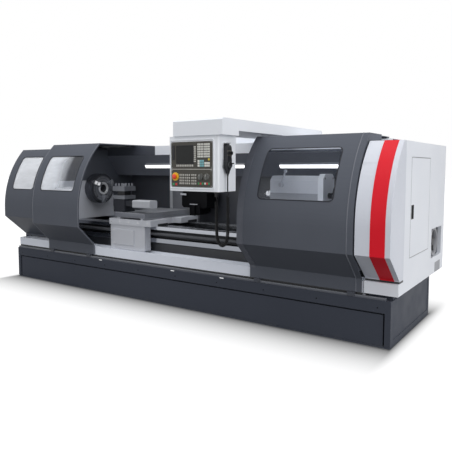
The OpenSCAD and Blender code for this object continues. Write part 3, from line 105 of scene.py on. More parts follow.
# Hand pendant on the side of the control box
PENDANT_X = (3404, 3442)
PENDANT_Y = -392
PENDANT_Z = (1288, 1510)
DIAL_Z = PENDANT_Z[0] + 70
SELECTOR_Z = PENDANT_Z[0] + 160

# Middle line of the pendant cord, (x, z): straight lead, then the coil down, round and up to the gland
CORD_LEAD = ((3423, 1288), (3423, 1240), (3423, 1190), (3423, 1150))
CORD_COIL = (
    (3423, 1140), (3424, 1080), (3425, 1010), (3425, 940), (3424, 865), (3422, 802), (3414, 759), (3396, 728),
    (3370, 715), (3344, 728), (3326, 759), (3318, 802), (3316, 865), (3315, 940), (3315, 1010), (3316, 1065),
    (3316, 1103),
)

# Spindle line, chuck face and feed screw
AXIS_Y, AXIS_Z = 475, 1090
CHUCK_X1 = 1024
SCREW_Y, SCREW_Z, SCREW_R = 165, 660.5, 20
SCREW_X = (965, 4290)

# End cabinet: outer face, fan, and the latch, door field and plate on that face
END_X = 4640
FAN_Y, FAN_Z = 1172, 668
FAN_W, FAN_H = 370, 262
LATCH_Y, LATCH_Z = (318, 390), (938, 1048)
DOOR_FIELD = (307, 868), (645, 1410)
PLATE_Y, PLATE_Z = (1134, 1339), (391, 482)

# Tailstock: front of the barrel, start and end of its flange; faces of the rear wall and the hood
TAIL_FRONT, FLANGE_X, TAIL_END = 375, 3844, 3895
WALL_Y, WALL_BACK_Y, HOOD_BACK_Y = 1086, 1089, 1320

# Heights in metres where a finish changes
BULKHEAD_SEAM, BULKHEAD_STRIP_TOP = 0.859, 1.184
# Below this height the tailstock's foot carries painted shade
BARREL_STEP = 1.108
WAY_BAND = (0.7035, 0.76)
LEDGE_BAND = (0.5745, 0.6215)
# The turret's slot between these heights carries painted shade
TURRET_SLOT = (1.0445, 1.0885)
REAR_BEND, RAIL_HIGHLIGHT_LINE, COVER_FOOT = 1.243, 0.3685, 0.499

# Camera of the photograph's view, and the reach of the floor's painted shadow
CAMERA_AT = (5712.5, -3707.9, 1334.1)
CAMERA_DOWN, CAMERA_TURN = 4.502, 34.834
CAMERA_SHIFT = (0.0005, -0.0394)
PAINTED_SHADOW_REACH, PAINTED_CONTACT_REACH = 0.75, 0.04
FLOOR_SIZE = 60.0


def srgb(red, green, blue):
    """Linear colour of an 8-bit screen colour."""
    return tuple(
        c / 12.92 if c <= 0.04045 else ((c + 0.055) / 1.055) ** 2.4
        for c in (red / 255, green / 255, blue / 255)
    )


def spot(x, y, z):
    """Point of the row frame, in metres, at a place of the working frame in millimetres."""
    return ORIGIN + Vector((x, y, z)) * MM


# Place where the hood's colour changes, and the work lamps on the slope below the hood
HOOD_JOINT_X = spot(1678, 0, 0).x
LAMP_MID = spot(0, 762, 1361)
LAMP_DOWN = Vector((0, 166, -236)).normalized()
LAMP_OUT = Vector((0, -236, -166)).normalized()
LAMP_H, LAMP_T = 52, 26
LAMP_X = (1465, 1553)

# Painted shade along the foot of the end cover and the red band, for the shadow gap above the ledge
COVER_FOOT_SHADE = srgb(30, 31, 36)


def colour_property(name, description, default):
    """Colour that a user may change."""
    return FloatVectorProperty(
        name=name, description=description, default=default, subtype="COLOR", size=3, min=0.0, max=1.0
    )


def length_property(name, description, default):
    """Length in metres that a user may change."""
    return FloatProperty(
        name=name, description=description, default=default, subtype="DISTANCE", unit="LENGTH", min=0.0
    )


def power_property(name, description, default):
    """Power of a light in watts that a user may change."""
    return FloatProperty(name=name, description=description, default=default, unit="POWER", min=0.0)


class LathePaint(PropertyGroup):
    """Colours of the lathe's finishes."""

    guard: colour_property("Guard enamel", "Dark enamel of the doors and the fixed guard", srgb(93, 97, 106))
    base: colour_property("Base enamel", "Darker enamel of the base", srgb(69, 73, 83))
    white: colour_property("White enamel", "Enamel of the cabinet and the hood", srgb(231, 235, 243))
    tray: colour_property("Tray enamel", "Light grey enamel of the chip tray", srgb(233, 238, 249))
    band: colour_property("Band enamel", "Red enamel of the band on the end cover", srgb(222, 8, 34))
    casting: colour_property("Casting paint", "Grey paint of the castings", srgb(192, 195, 203))
    panel: colour_property("Panel film", "Dark film of the operator panel", srgb(70, 68, 63))
    steel: colour_property("Bright steel", "Ground and turned steel", srgb(205, 206, 208))
    dark_steel: colour_property("Blackened steel", "Turret and handwheel", srgb(56, 58, 64))
    key_white: colour_property("White keys", "Letter and number keys", srgb(226, 226, 220))
    key_grey: colour_property("Grey keys", "Soft keys and machine keys", srgb(190, 188, 182))
    key_cyan: colour_property("Cyan keys", "Cursor keys", srgb(120, 178, 186))
    key_yellow: colour_property("Yellow keys", "Input key", srgb(226, 200, 60))
    key_green: colour_property("Green keys", "Start keys", srgb(40, 140, 84))
    key_red: colour_property("Red keys", "Stop keys", srgb(200, 44, 48))
    stop: colour_property("Stop button", "Emergency stop button", srgb(236, 62, 28))
    collar: colour_property("Stop collar", "Ring round the emergency stop button", srgb(245, 190, 20))
    rubber: colour_property("Rubber", "Seals, cord, belt and pads", srgb(26, 27, 30))


class LatheTrim(PropertyGroup):
    """Sizes of the trim that the dressing adds."""

    seal_width: length_property("Seal width", "Width of a window seal", 0.009)
    seal_height: length_property("Seal height", "Height of a window seal above the sheet", 0.0022)
    hem_width: length_property("Hem width", "Width of the rolled hem on a door edge", 0.009)
    hem_height: length_property("Hem height", "Height of the rolled hem above the sheet", 0.003)
    edge_break: length_property("Broken edge", "Width of the broken edges of castings and sheet", 0.0025)
    cord_diameter: length_property("Cord diameter", "Diameter of the pendant cord's sheath", 0.0074)
    coil_radius: length_property("Coil radius", "Radius of the coil at the middle of the sheath", 0.0103)
    coil_pitch: length_property("Coil pitch", "Length of one turn of the coil along the cord", 0.0083)
    coil_points: IntProperty(
        name="Coil points", description="Points on one turn of the coil", default=14, min=12
    )
    thread_lead: length_property("Thread lead", "Lead of the feed screw", 0.010)
    thread_depth: length_property("Thread depth", "Depth of the feed screw's groove", 0.0022)


class LatheStage(PropertyGroup):
    """Camera and light of the plain studio."""

    lens: FloatProperty(
        name="Lens", description="Focal length on a 36 mm sensor", default=40.92, unit="CAMERA"
    )
    key: power_property("Right light", "Power of the soft light on the right", 226.0)
    top: power_property("Top light", "Power of the soft light overhead", 150.0)
    fill: power_property("Front light", "Power of the soft light in front", 104.0)
    ambient: FloatProperty(
        name="Surroundings", description="Strength of the even light all round", default=0.42, min=0.0
    )


class Finish:
    """Node material round one Principled shader, with its textures placed in the piece's own metres."""

    def __init__(self, name, colour, roughness, metallic=0.0, coat=0.0, coat_roughness=0.15):
        self.name = name
        self.material = bpy.data.materials.new(name)
        self.material.use_nodes = True
        self.tree = self.material.node_tree
        self.shader = self.tree.nodes["Principled BSDF"]
        self.colour = (*colour, 1.0)
        self.roughness = roughness
        self.shader.inputs["Base Color"].default_value = self.colour
        self.shader.inputs["Roughness"].default_value = roughness
        self.shader.inputs["Metallic"].default_value = metallic
        self.shader.inputs["Coat Weight"].default_value = coat
        self.shader.inputs["Coat Roughness"].default_value = coat_roughness
        self.place = self.tree.nodes.new("ShaderNodeTexCoord").outputs["Object"]
        self.normal = None
        self.reach = None

    def node(self, kind, **inputs):
        """New node with values or links on its inputs."""
        made = self.tree.nodes.new(kind)
        for key, value in inputs.items():
            self.feed(made.inputs[key.replace("_", " ")], value)
        return made

    def feed(self, socket, value):
        """Links another socket or sets a value."""
        if isinstance(value, bpy.types.NodeSocket):
            self.tree.links.new(value, socket)
        else:
            socket.default_value = value

    def stretched(self, scale, tilt=0.0):
        """Texture place turned about Y by an angle, then stretched along the axes."""
        mapping = self.node("ShaderNodeMapping", Vector=self.place)
        mapping.inputs["Rotation"].default_value = (0.0, tilt, 0.0)
        mapping.inputs["Scale"].default_value = scale
        return mapping.outputs["Vector"]

    def noise(self, scale, detail=3.0, place=None):
        """Cloudy pattern from 0 to 1, with that many features to a metre."""
        made = self.node("ShaderNodeTexNoise", Vector=place or self.place, Scale=scale, Detail=detail)
        return made.outputs["Fac"]

    def cells(self, scale, place=None):
        """Distance pattern of a cell texture."""
        return self.node("ShaderNodeTexVoronoi", Vector=place or self.place, Scale=scale).outputs["Distance"]

    def remap(self, value, low, high, to_low=0.0, to_high=1.0):
        """Value between two limits as a value between two others."""
        made = self.node("ShaderNodeMapRange", Value=value)
        for socket, number in zip(("From Min", "From Max", "To Min", "To Max"), (low, high, to_low, to_high)):
            made.inputs[socket].default_value = number
        return made.outputs["Result"]

    def math(self, operation, first, second=0.0):
        """Result of an operation on two values or sockets."""
        made = self.tree.nodes.new("ShaderNodeMath")
        made.operation = operation
        self.feed(made.inputs[0], first)
        self.feed(made.inputs[1], second)
        return made.outputs["Value"]

    def axis(self, name):
        """One coordinate of the piece's own place, in metres."""
        return self.node("ShaderNodeSeparateXYZ", Vector=self.place).outputs[name]

    def band(self, name, low, high, soft=0.001):
        """1 between two places along an axis, 0 outside."""
        along = self.axis(name)
        return self.math(
            "MULTIPLY", self.remap(along, low - soft, low + soft), self.remap(along, high + soft, high - soft)
        )

    def below(self, name, limit):
        """1 before a place along an axis, 0 after it."""
        return self.remap(self.axis(name), limit - 0.001, limit + 0.001, 1.0, 0.0)

    def tint(self, mask, other, base=None):
        """Colour that goes to another one where the mask is 1."""
        mix = self.tree.nodes.new("ShaderNodeMix")
        mix.data_type = "RGBA"
        self.feed(mix.inputs["Factor"], mask)
        self.feed(mix.inputs["A"], base or self.colour)
        self.feed(mix.inputs["B"], (*other, 1.0) if len(other) == 3 else other)
        socket = mix.outputs["Result"]
        self.feed(self.shader.inputs["Base Color"], socket)
        return socket

    def mottle(self, scale, share, base=None):
        """Uneven colour: a share lighter and darker in clouds."""
        cloud = self.noise(scale, 4.0)
        made = self.node("ShaderNodeHueSaturation", Color=base or self.colour)
        self.feed(made.inputs["Value"], self.remap(cloud, 0.25, 0.75, 1 - share, 1 + share))
        self.feed(self.shader.inputs["Base Color"], made.outputs["Color"])
        return made.outputs["Color"]

    def rub(self, pattern, spread):
        """Roughness that varies with a pattern."""
        self.feed(
            self.shader.inputs["Roughness"],
            self.remap(pattern, 0.3, 0.7, max(0.02, self.roughness - spread), self.roughness + spread),
        )

    def bump(self, height, distance, strength=0.5):
        """Relief of that many metres, on top of any before."""
        made = self.node("ShaderNodeBump", Height=height, Distance=distance, Strength=strength)
        if self.normal:
            self.feed(made.inputs["Normal"], self.normal)
        self.normal = made.outputs["Normal"]
        self.feed(self.shader.inputs["Normal"], self.normal)


def enamel(name, colour, roughness=0.42, peel=220.0, share=0.05, coat=0.0, gloss=0.5):
    """Sprayed machine enamel: faint clouds, orange peel and uneven gloss."""
    made = Finish(name, colour, roughness, coat=coat)
    made.shader.inputs["Specular IOR Level"].default_value = gloss
    made.mottle(1.7, share)
    made.rub(made.noise(5.0, 5.0), 0.06)
    made.bump(made.noise(peel, 2.0), 0.0004, 0.25)
    made.bump(made.noise(9.0, 1.0), 0.0012, 0.12)
    return made


def scuffed_enamel(name, colour):
    """Base enamel with floor dust rising from the bottom edge and small scuffs."""
    made = Finish(name, colour, 0.45)
    made.shader.inputs["Specular IOR Level"].default_value = 0.04
    base = made.mottle(1.3, 0.04)
    rise = made.remap(made.axis("Z"), 0.0, 0.05, 1.0, 0.0)
    dust = made.math("MULTIPLY", rise, made.remap(made.noise(14.0, 6.0), 0.42, 0.75))
    made.tint(made.math("MULTIPLY", dust, 0.12), srgb(120, 118, 114), base)
    made.rub(made.noise(6.0, 5.0), 0.07)
    made.bump(made.noise(240.0, 2.0), 0.0004, 0.3)
    return made


def casting(name, colour):
    """Painted casting: coarse sand skin under the paint and worn gloss."""
    made = Finish(name, colour, 0.46)
    made.mottle(4.0, 0.05)
    made.rub(made.noise(11.0, 5.0), 0.08)
    made.bump(made.noise(60.0, 4.0), 0.0012, 0.3)
    made.bump(made.cells(130.0), 0.0006, 0.2)
    return made


def tailstock_paint_with_painted_light(name, barrel, foot, flange):
    """Painted casting with painted light and shade: lighter all over than the other castings, for light that
    the enclosure keeps out, darker on the foot below the barrel as in its shadow, and lighter on the flange
    at its end as where light falls.
    """
    made = casting(name, barrel)
    low = made.below("Z", BARREL_STEP)
    start = spot(FLANGE_X, 0, 0).x
    end = made.remap(made.axis("X"), start - 0.001, start + 0.001)
    made.tint(end, flange, made.tint(low, foot, made.mottle(4.0, 0.05)))
    return made


def ground_steel(name, colour, roughness=0.24, stretch=(1.0, 60.0, 60.0), metallic=1.0):
    """Ground steel: fine lines along the grinding direction and faint stains."""
    made = Finish(name, colour, roughness, metallic=metallic)
    lines = made.noise(12.0, 6.0, made.stretched(stretch))
    made.mottle(6.0, 0.10)
    made.rub(lines, 0.10)
    made.bump(lines, 0.0002, 0.35)
    return made


def slotted_steel(name, colour, slot, low, high):
    """Ground steel with painted shade: a dark band between two heights, for the shade in a slot."""
    made = ground_steel(name, colour, 0.40, (30.0, 30.0, 3.0), 0.3)
    made.tint(made.band("Z", low, high), slot, made.mottle(6.0, 0.06))
    return made


def turned_steel(
    name, colour, roughness=0.26, centre=(AXIS_Y, AXIS_Z), metallic=1.0, stain=0.12, groove=0.00012
):
    """Turned steel: rings round an axis along X, with stains."""
    made = Finish(name, colour, roughness, metallic=metallic)
    middle = spot(0, *centre)
    shifted = made.node("ShaderNodeMapping", Vector=made.place)
    shifted.inputs["Location"].default_value = (0.0, -middle.y, -middle.z)
    flat = made.node("ShaderNodeVectorMath")
    flat.operation = "MULTIPLY"
    made.feed(flat.inputs[0], shifted.outputs["Vector"])
    flat.inputs[1].default_value = (0.0, 1.0, 1.0)
    reach = made.node("ShaderNodeVectorMath")
    reach.operation = "LENGTH"
    made.feed(reach.inputs[0], flat.outputs["Vector"])
    ripple = made.math("SINE", made.math("MULTIPLY", reach.outputs["Value"], 3200.0))
    along = made.math("SINE", made.math("MULTIPLY", made.axis("X"), 3600.0))
    made.mottle(9.0, stain)
    made.rub(made.noise(22.0, 5.0), 0.6 * stain)
    made.bump(made.math("ADD", ripple, along), groove, 0.4)
    made.reach = reach.outputs["Value"]
    return made


def chuck_steel(name, face, drum):
    """Turned steel face with painted shade: darker towards the drum, as on its side turned from the light,
    and two dark rings for the shade in turned grooves.
    """
    made = turned_steel(name, face, 0.24, metallic=0.7, stain=0.03, groove=0.00001)
    dark = made.remap(made.reach, 0.136, 0.150)
    for middle in (0.088, 0.118):
        gap = made.math("ABSOLUTE", made.math("SUBTRACT", made.reach, middle))
        dark = made.math("MAXIMUM", dark, made.remap(gap, 0.0015, 0.004, 0.75, 0.0))
    # Painted shade on the drum and in the two groove rings
    made.tint(dark, drum, made.mottle(9.0, 0.03))
    return made


def moulded(name, colour, roughness=0.5, grain=900.0, gloss=0.5):
    """Moulded plastic or rubber with a fine spark-eroded grain."""
    made = Finish(name, colour, roughness)
    made.shader.inputs["Specular IOR Level"].default_value = gloss
    made.mottle(12.0, 0.07)
    made.rub(made.noise(40.0, 4.0), 0.06)
    made.bump(made.noise(grain, 2.0), 0.00025, 0.35)
    return made


def bed_iron(name, paint, steel, dull):
    """Painted bed casting with ground way faces and a duller ground ledge."""
    made = Finish(name, paint, 0.5)
    ways = made.band("Z", *WAY_BAND)
    ledge = made.band("Z", *LEDGE_BAND)
    bright = made.math("MAXIMUM", ways, ledge)
    lines = made.noise(10.0, 6.0, made.stretched((1.0, 50.0, 50.0)))
    made.tint(ways, steel, made.tint(ledge, dull, made.mottle(3.0, 0.08)))
    made.feed(made.shader.inputs["Metallic"], bright)
    made.feed(
        made.shader.inputs["Roughness"],
        made.math("ADD", made.remap(bright, 0.0, 1.0, 0.5, 0.2), made.remap(lines, 0.3, 0.7, -0.04, 0.08)),
    )
    made.bump(made.noise(55.0, 4.0), 0.0010, 0.2)
    return made


def two_tone_enamel(name, colour, other, axis, limit, gloss=0.5):
    """Enamel in two colours with a masked line across: the other one below the limit on that axis."""
    made = Finish(name, colour, 0.45)
    made.shader.inputs["Specular IOR Level"].default_value = gloss
    made.tint(made.below(axis, limit), other, made.mottle(2.0, 0.04))
    made.rub(made.noise(6.0, 5.0), 0.07)
    made.bump(made.noise(220.0, 2.0), 0.0004, 0.25)
    return made


def bulkhead_enamel(name, colour, light):
    """Dark enamel with a light field below the seam and a light strip up the front edge."""
    made = Finish(name, colour, 0.45)
    front = made.below("Y", spot(0, 345, 0).y)
    strip = made.math("MULTIPLY", front, made.below("Z", BULKHEAD_STRIP_TOP))
    light_part = made.math("MAXIMUM", made.below("Z", BULKHEAD_SEAM), strip)
    made.tint(light_part, light, made.mottle(2.0, 0.04))
    made.rub(made.noise(6.0, 5.0), 0.07)
    made.bump(made.noise(220.0, 2.0), 0.0004, 0.25)
    return made


def patched_enamel(name, colour, patch, other, rim=None):
    """Cabinet enamel with a flush patch of another colour and, for a door, painted shade: a grey line round
    its field, for the shadow in the gap round the door.
    """
    made = Finish(name, colour, 0.38)

    def within(field):
        """1 between two Y and two Z places in millimetres."""
        (y0, y1), (z0, z1) = field
        low, high = spot(0, y0, z0), spot(0, y1, z1)
        across = made.band("Y", low.y, high.y, 0.0005)
        return made.math("MULTIPLY", across, made.band("Z", low.z, high.z, 0.0005))

    shade = made.mottle(1.7, 0.02)
    # Painted shade: grey outside the door's field, for the shadow in the gap round it
    if rim:
        shade = made.tint(made.math("SUBTRACT", 1.0, within(rim)), srgb(150, 152, 158), shade)
    inside = within(patch)
    made.tint(inside, other, shade)
    made.feed(made.shader.inputs["Specular IOR Level"], made.remap(inside, 0.0, 1.0, 0.5, 0.02))
    made.rub(made.noise(5.0, 5.0), 0.06)
    made.bump(made.noise(220.0, 2.0), 0.0004, 0.25)
    return made


def window_pane(name, reflection_from, reflection_to, reflection_most, bending):
    """Clear pane with a painted reflection: it turns milky white towards one side, low down and in streaks,
    for the reflection of the lights in the curved glass.
    """
    made = Finish(name, srgb(240, 243, 248), 0.02)
    made.shader.inputs["IOR"].default_value = bending
    # Painted reflection: the milky white share of the pane, in place of the lights' reflection
    side = made.remap(made.axis("X"), reflection_from, reflection_to, 1.0, 0.0)
    streak = made.remap(made.noise(2.2, 4.0, made.stretched((1.0, 1.0, 4.0), 0.6)), 0.3, 0.75)
    low = made.remap(made.axis("Z"), 1.14, 1.09, 0.0, 0.6)
    share = made.remap(streak, 0.0, 1.0, 0.55, 1.0)
    painted_reflection = made.math("MULTIPLY", made.math("MAXIMUM", side, low), share)
    made.feed(made.shader.inputs["Transmission Weight"], made.remap(painted_reflection, 0.0, 1.0, 0.995, 1.0 - reflection_most))
    made.rub(streak, 0.015)
    made.bump(made.noise(2.5, 2.0), 0.0003, 0.02)
    clear = made.tree.nodes.new("ShaderNodeBsdfTransparent")
    mix = made.tree.nodes.new("ShaderNodeMixShader")
    path = made.tree.nodes.new("ShaderNodeLightPath")
    made.feed(mix.inputs[0], path.outputs["Is Shadow Ray"])
    made.feed(mix.inputs[1], made.shader.outputs["BSDF"])
    made.feed(mix.inputs[2], clear.outputs["BSDF"])
    made.feed(made.tree.nodes["Material Output"].inputs["Surface"], mix.outputs["Shader"])
    return made


def lamp_diffuser(name):
    """Grey lamp housing with a milky front lit from behind, brighter along the row of light points."""
    made = Finish(name, srgb(150, 153, 160), 0.35)
    rise = made.node("ShaderNodeVectorMath")
    rise.operation = "DOT_PRODUCT"
    made.feed(rise.inputs[0], made.place)
    rise.inputs[1].default_value = LAMP_OUT
    face = LAMP_MID.dot(LAMP_OUT) + LAMP_T * MM
    front = made.remap(rise.outputs["Value"], face - 0.002, face - 0.001)
    made.tint(front, srgb(235, 238, 240))
    glow = made.math("MULTIPLY", front, made.remap(made.noise(30.0, 2.0), 0.3, 0.7, 2.6, 3.2))
    made.shader.inputs["Emission Color"].default_value = (1.0, 1.0, 1.0, 1.0)
    made.feed(made.shader.inputs["Emission Strength"], glow)
    made.bump(made.noise(500.0, 2.0), 0.0002, 0.2)
    return made


FINISHES = {}


def mix_finishes(context):
    """Makes every finish once, from the paint colours."""
    paint = context.scene.lathe_paint
    steel, dark_steel, rubber = tuple(paint.steel), tuple(paint.dark_steel), tuple(paint.rubber)
    made = (
        enamel("guard_enamel", tuple(paint.guard), 0.42, gloss=0.04),
        # A little lighter than the guard enamel: painted highlight along the rolled door hems, also worn by
        # the slide front plate
        enamel("hem_enamel", srgb(96, 100, 110), 0.35),
        two_tone_enamel("rear_enamel", srgb(104, 108, 118), srgb(68, 71, 79), "Z", REAR_BEND),
        enamel("wall_enamel", srgb(128, 131, 139), 0.45),
        enamel("strip_enamel", srgb(186, 189, 196), 0.40),
        enamel("arm_enamel", srgb(238, 242, 249), 0.38, share=0.02),
        two_tone_enamel("cover_enamel", srgb(213, 217, 227), COVER_FOOT_SHADE, "Z", COVER_FOOT),
        enamel("box_enamel", srgb(241, 245, 251), 0.38, share=0.02),
        patched_enamel("door_enamel", tuple(paint.white), (LATCH_Y, LATCH_Z), srgb(14, 15, 18), DOOR_FIELD),
        patched_enamel("cabinet_enamel", tuple(paint.white), (PLATE_Y, PLATE_Z), srgb(176, 178, 184)),
        scuffed_enamel("base_enamel", tuple(paint.base)),
        # Door rail: painted highlight, lighter along its top above the rail line, base enamel below
        two_tone_enamel("rail_enamel_with_highlight", srgb(108, 111, 118), tuple(paint.base), "Z", RAIL_HIGHLIGHT_LINE),
        enamel("white_enamel", tuple(paint.white), 0.38, share=0.02),
        enamel("tray_enamel", tuple(paint.tray), 0.55, share=0.04, gloss=0.3),
        two_tone_enamel("band_enamel", tuple(paint.band), COVER_FOOT_SHADE, "Z", COVER_FOOT, 0.25),
        casting("casting_paint", tuple(paint.casting)),
        # Tailstock: painted light on the barrel and flange, painted shade on its foot
        tailstock_paint_with_painted_light("tailstock_paint_with_painted_light", srgb(218, 221, 228), srgb(172, 175, 182), srgb(240, 243, 248)),
        bed_iron("bed_iron", srgb(36, 38, 43), srgb(160, 163, 170), srgb(136, 139, 146)),
        bulkhead_enamel("bulkhead_enamel", srgb(76, 80, 89), srgb(190, 193, 200)),
        two_tone_enamel("hood_enamel", tuple(paint.white), srgb(58, 62, 72), "X", HOOD_JOINT_X),
        ground_steel("ground_steel", steel),
        ground_steel("slide_steel", srgb(138, 141, 148), 0.40, (60.0, 1.0, 60.0), 0.3),
        ground_steel("wheel_steel", dark_steel, 0.36, (30.0, 30.0, 3.0), 0.5),
        slotted_steel("turret_steel", srgb(104, 107, 114), srgb(26, 27, 31), *TURRET_SLOT),
        two_tone_enamel("turret_enamel", srgb(182, 185, 192), srgb(46, 48, 54), "X", spot(1897, 0, 0).x, 0.1),
        turned_steel("turned_steel", steel),
        chuck_steel("chuck_steel", srgb(158, 161, 168), srgb(84, 86, 93)),
        turned_steel("bright_ring", srgb(214, 216, 220), 0.3, metallic=0.35),
        turned_steel("dial_steel", srgb(58, 59, 62), 0.3, (PENDANT_Y, DIAL_Z), 0.6),
        turned_steel("screw_steel", srgb(64, 66, 71), 0.45, (SCREW_Y, SCREW_Z), 0.3, 0.04, 0.00003),
        window_pane("guard_pane", 4.0, 5.0, 0.88, 1.45),
        window_pane("left_door_pane", spot(800, 0, 0).x, spot(1120, 0, 0).x, 0.88, 1.2),
        window_pane("right_door_pane", spot(3300, 0, 0).x, spot(3540, 0, 0).x, 0.02, 1.01),
        moulded("black_plastic", srgb(28, 29, 33), 0.42, gloss=0.25),
        moulded("motor_black", srgb(13, 14, 17), 0.5, 300.0, 0.1),
        moulded("panel_film", tuple(paint.panel), 0.48, 700.0, 0.25),
        moulded("screen_glass", srgb(36, 37, 37), 0.2, 40.0, 0.12),
        moulded("rubber", rubber, 0.55, 500.0),
        moulded("cord_rubber", srgb(10, 10, 13), 0.36, 700.0, 0.18),
        moulded("edge_rubber", srgb(94, 97, 106), 0.5, 400.0, 0.2),
        moulded("seal_rubber", srgb(40, 42, 48), 0.5, 400.0, 0.2),
        moulded("glide_grey", srgb(70, 73, 81), 0.5, 400.0, 0.2),
        moulded("knob_grey", srgb(104, 105, 103), 0.4, 500.0, 0.3),
        moulded("shroud_grey", srgb(132, 134, 140), 0.4, 300.0),
        moulded("stop_red", tuple(paint.stop), 0.3, 200.0),
        moulded("stop_yellow", tuple(paint.collar), 0.4, 300.0),
        lamp_diffuser("lamp_diffuser"),
        moulded("key_white", tuple(paint.key_white), 0.45),
        moulded("key_grey", tuple(paint.key_grey), 0.45),
        moulded("key_cyan", tuple(paint.key_cyan), 0.45),
        moulded("key_yellow", tuple(paint.key_yellow), 0.45),
        moulded("key_green", tuple(paint.key_green), 0.45),
        moulded("key_red", tuple(paint.key_red), 0.45),
    )
    FINISHES.update({finish.name: finish.material for finish in made})


def dress(nodes, finish, edge=0.0):
    """Gives CAD nodes a finish and, where asked, broken edges."""
    for name in nodes:
        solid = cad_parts[name]
        solid.data.materials.clear()
        solid.data.materials.append(FINISHES[finish])
        if edge:
            join = solid.modifiers.new("joined_faces", "WELD")
            join.merge_threshold = 0.00001
            broken = solid.modifiers.new("broken_edges", "BEVEL")
            broken.width = edge
            broken.segments = 2
            broken.limit_method = "ANGLE"
            broken.angle_limit = math.radians(40)
            broken.harden_normals = True


def piece_of(bm, name, finish, body, sharp=35.0):
    """Turns a mesh into a named piece that rides on a body."""
    bmesh.ops.recalc_face_normals(bm, faces=bm.faces)
    mesh = bpy.data.meshes.new(name)
    bm.to_mesh(mesh)
    bm.free()
    mesh.shade_smooth()
    mesh.set_sharp_from_angle(angle=math.radians(sharp))
    mesh.materials.append(FINISHES[finish])
    piece = bpy.data.objects.new(name, mesh)
    bpy.context.scene.collection.objects.link(piece)
    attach(piece, body)
    return piece


def plane_axes(normal):
    """Two directions in the plane of a face that looks along normal, the second one up where it can be."""
    rough = UP if abs(normal.z) < 0.9 else BACK
    across = rough.cross(normal).normalized()
    return across, normal.cross(across).normalized()


def skin(bm, rings, closed_path=False):
    """Faces between rings of equal length, with caps on an open path."""
    count = len(rings[0])
    pairs = list(zip(rings, rings[1:])) + ([(rings[-1], rings[0])] if closed_path else [])
    for first, second in pairs:
        for i in range(count):
            j = (i + 1) % count
            bm.faces.new((first[i], first[j], second[j], second[i]))
    if not closed_path:
        bm.faces.new(rings[0])
        bm.faces.new(list(reversed(rings[-1])))


def sweep(bm, points, normals, outline, closed_path=False):
    """Sweeps an outline of (side, out) points along a path on a surface with those normals."""
    count = len(points)
    rings = []
    for i in range(count):
        before = points[i - 1] if closed_path or i else points[0]
        after = points[(i + 1) % count] if closed_path or i + 1 < count else points[-1]
        side = (after - before).cross(normals[i]).normalized()
        rings.append([bm.verts.new(points[i] + side * u + normals[i] * v) for u, v in outline])
    skin(bm, rings, closed_path)


def dome(width, height, sunk=0.0012, steps=8):
    """Half-round outline that many metres wide and high, sunk a little into what carries it."""
    angles = [math.pi * i / steps for i in range(steps + 1)]
    arc = [(math.cos(a) * width / 2, math.sin(a) * height) for a in angles]
    return arc + [(-width / 2, -sunk), (width / 2, -sunk)]


def rounded_loop(a, b, radius, corner_steps=6, side_steps=1):
    """Points round a rectangle with round corners, in millimetres."""
    loop = []
    corners = (
        (a[1] - radius, b[1] - radius, 0), (a[0] + radius, b[1] - radius, 90),
        (a[0] + radius, b[0] + radius, 180), (a[1] - radius, b[0] + radius, 270),
    )
    for ca, cb, start in corners:
        for i in range(corner_steps + 1):
            angle = math.radians(start + 90 * i / corner_steps)
            loop.append((ca + radius * math.cos(angle), cb + radius * math.sin(angle)))
    if side_steps == 1:
        return loop
    fine = []
    for i, (pa, pb) in enumerate(loop):
        na, nb = loop[(i + 1) % len(loop)]
        steps = side_steps if math.hypot(na - pa, nb - pb) > radius else 1
        fine += [(pa + (na - pa) * k / steps, pb + (nb - pb) * k / steps) for k in range(steps)]
    return fine


def raised_plate(bm, centre, normal, width, height, thick, radius, edge):
    """Plate with round corners and a rolled front edge, standing on a face. Sizes in millimetres."""
    across, up = plane_axes(normal)
    rings = []
    for inset, level in ((0, -0.8), (0, thick - edge), (edge * 0.3, thick - edge * 0.3), (edge, thick)):
        half_w, half_h = width / 2 - inset, height / 2 - inset
        loop = rounded_loop((-half_w, half_w), (-half_h, half_h), max(radius - inset, 0.2), 4)
        rings.append([bm.verts.new(centre + (across * u + up * v + normal * level) * MM) for u, v in loop])
    skin(bm, rings)


def turned(bm, profile, centre, axis, segments=32, hollow=False):
    """Solid of revolution of (radius, along) points, in millimetres; a hollow outline closes on itself."""
    across, up = plane_axes(axis)
    rings = []
    for radius, along in profile:
        ring = []
        for i in range(segments):
            angle = 2 * math.pi * i / segments
            out = across * math.cos(angle) + up * math.sin(angle)
            ring.append(bm.verts.new(centre + (out * max(radius, 0.02) + axis * along) * MM))
        rings.append(ring)
    skin(bm, rings, hollow)


def cap_screw(bm, centre, normal, radius=5.0, height=3.5):
    """Socket-head screw on a face: turned head with a round socket hole."""
    hole = radius * 0.55
    profile = (
        (radius, -0.8), (radius, height * 0.75), (radius * 0.85, height),
        (hole, height), (hole, height * 0.35),
    )
    turned(bm, profile, centre, normal, 12)


def screw_set(name, places, normal, body, finish="ground_steel", radius=5.0, height=3.5):
    """Several like screws as one piece."""
    bm = bmesh.new()
    for place in places:
        cap_screw(bm, spot(*place), normal, radius, height)
    return piece_of(bm, name, finish, body)


def plate_set(name, plates, normal, body, finish, thick, radius, edge):
    """Several like plates as one piece: each is (x, y, z, width, height) in millimetres."""
    bm = bmesh.new()
    for x, y, z, width, height in plates:
        raised_plate(bm, spot(x, y, z), normal, width, height, thick, radius, edge)
    return piece_of(bm, name, finish, body)


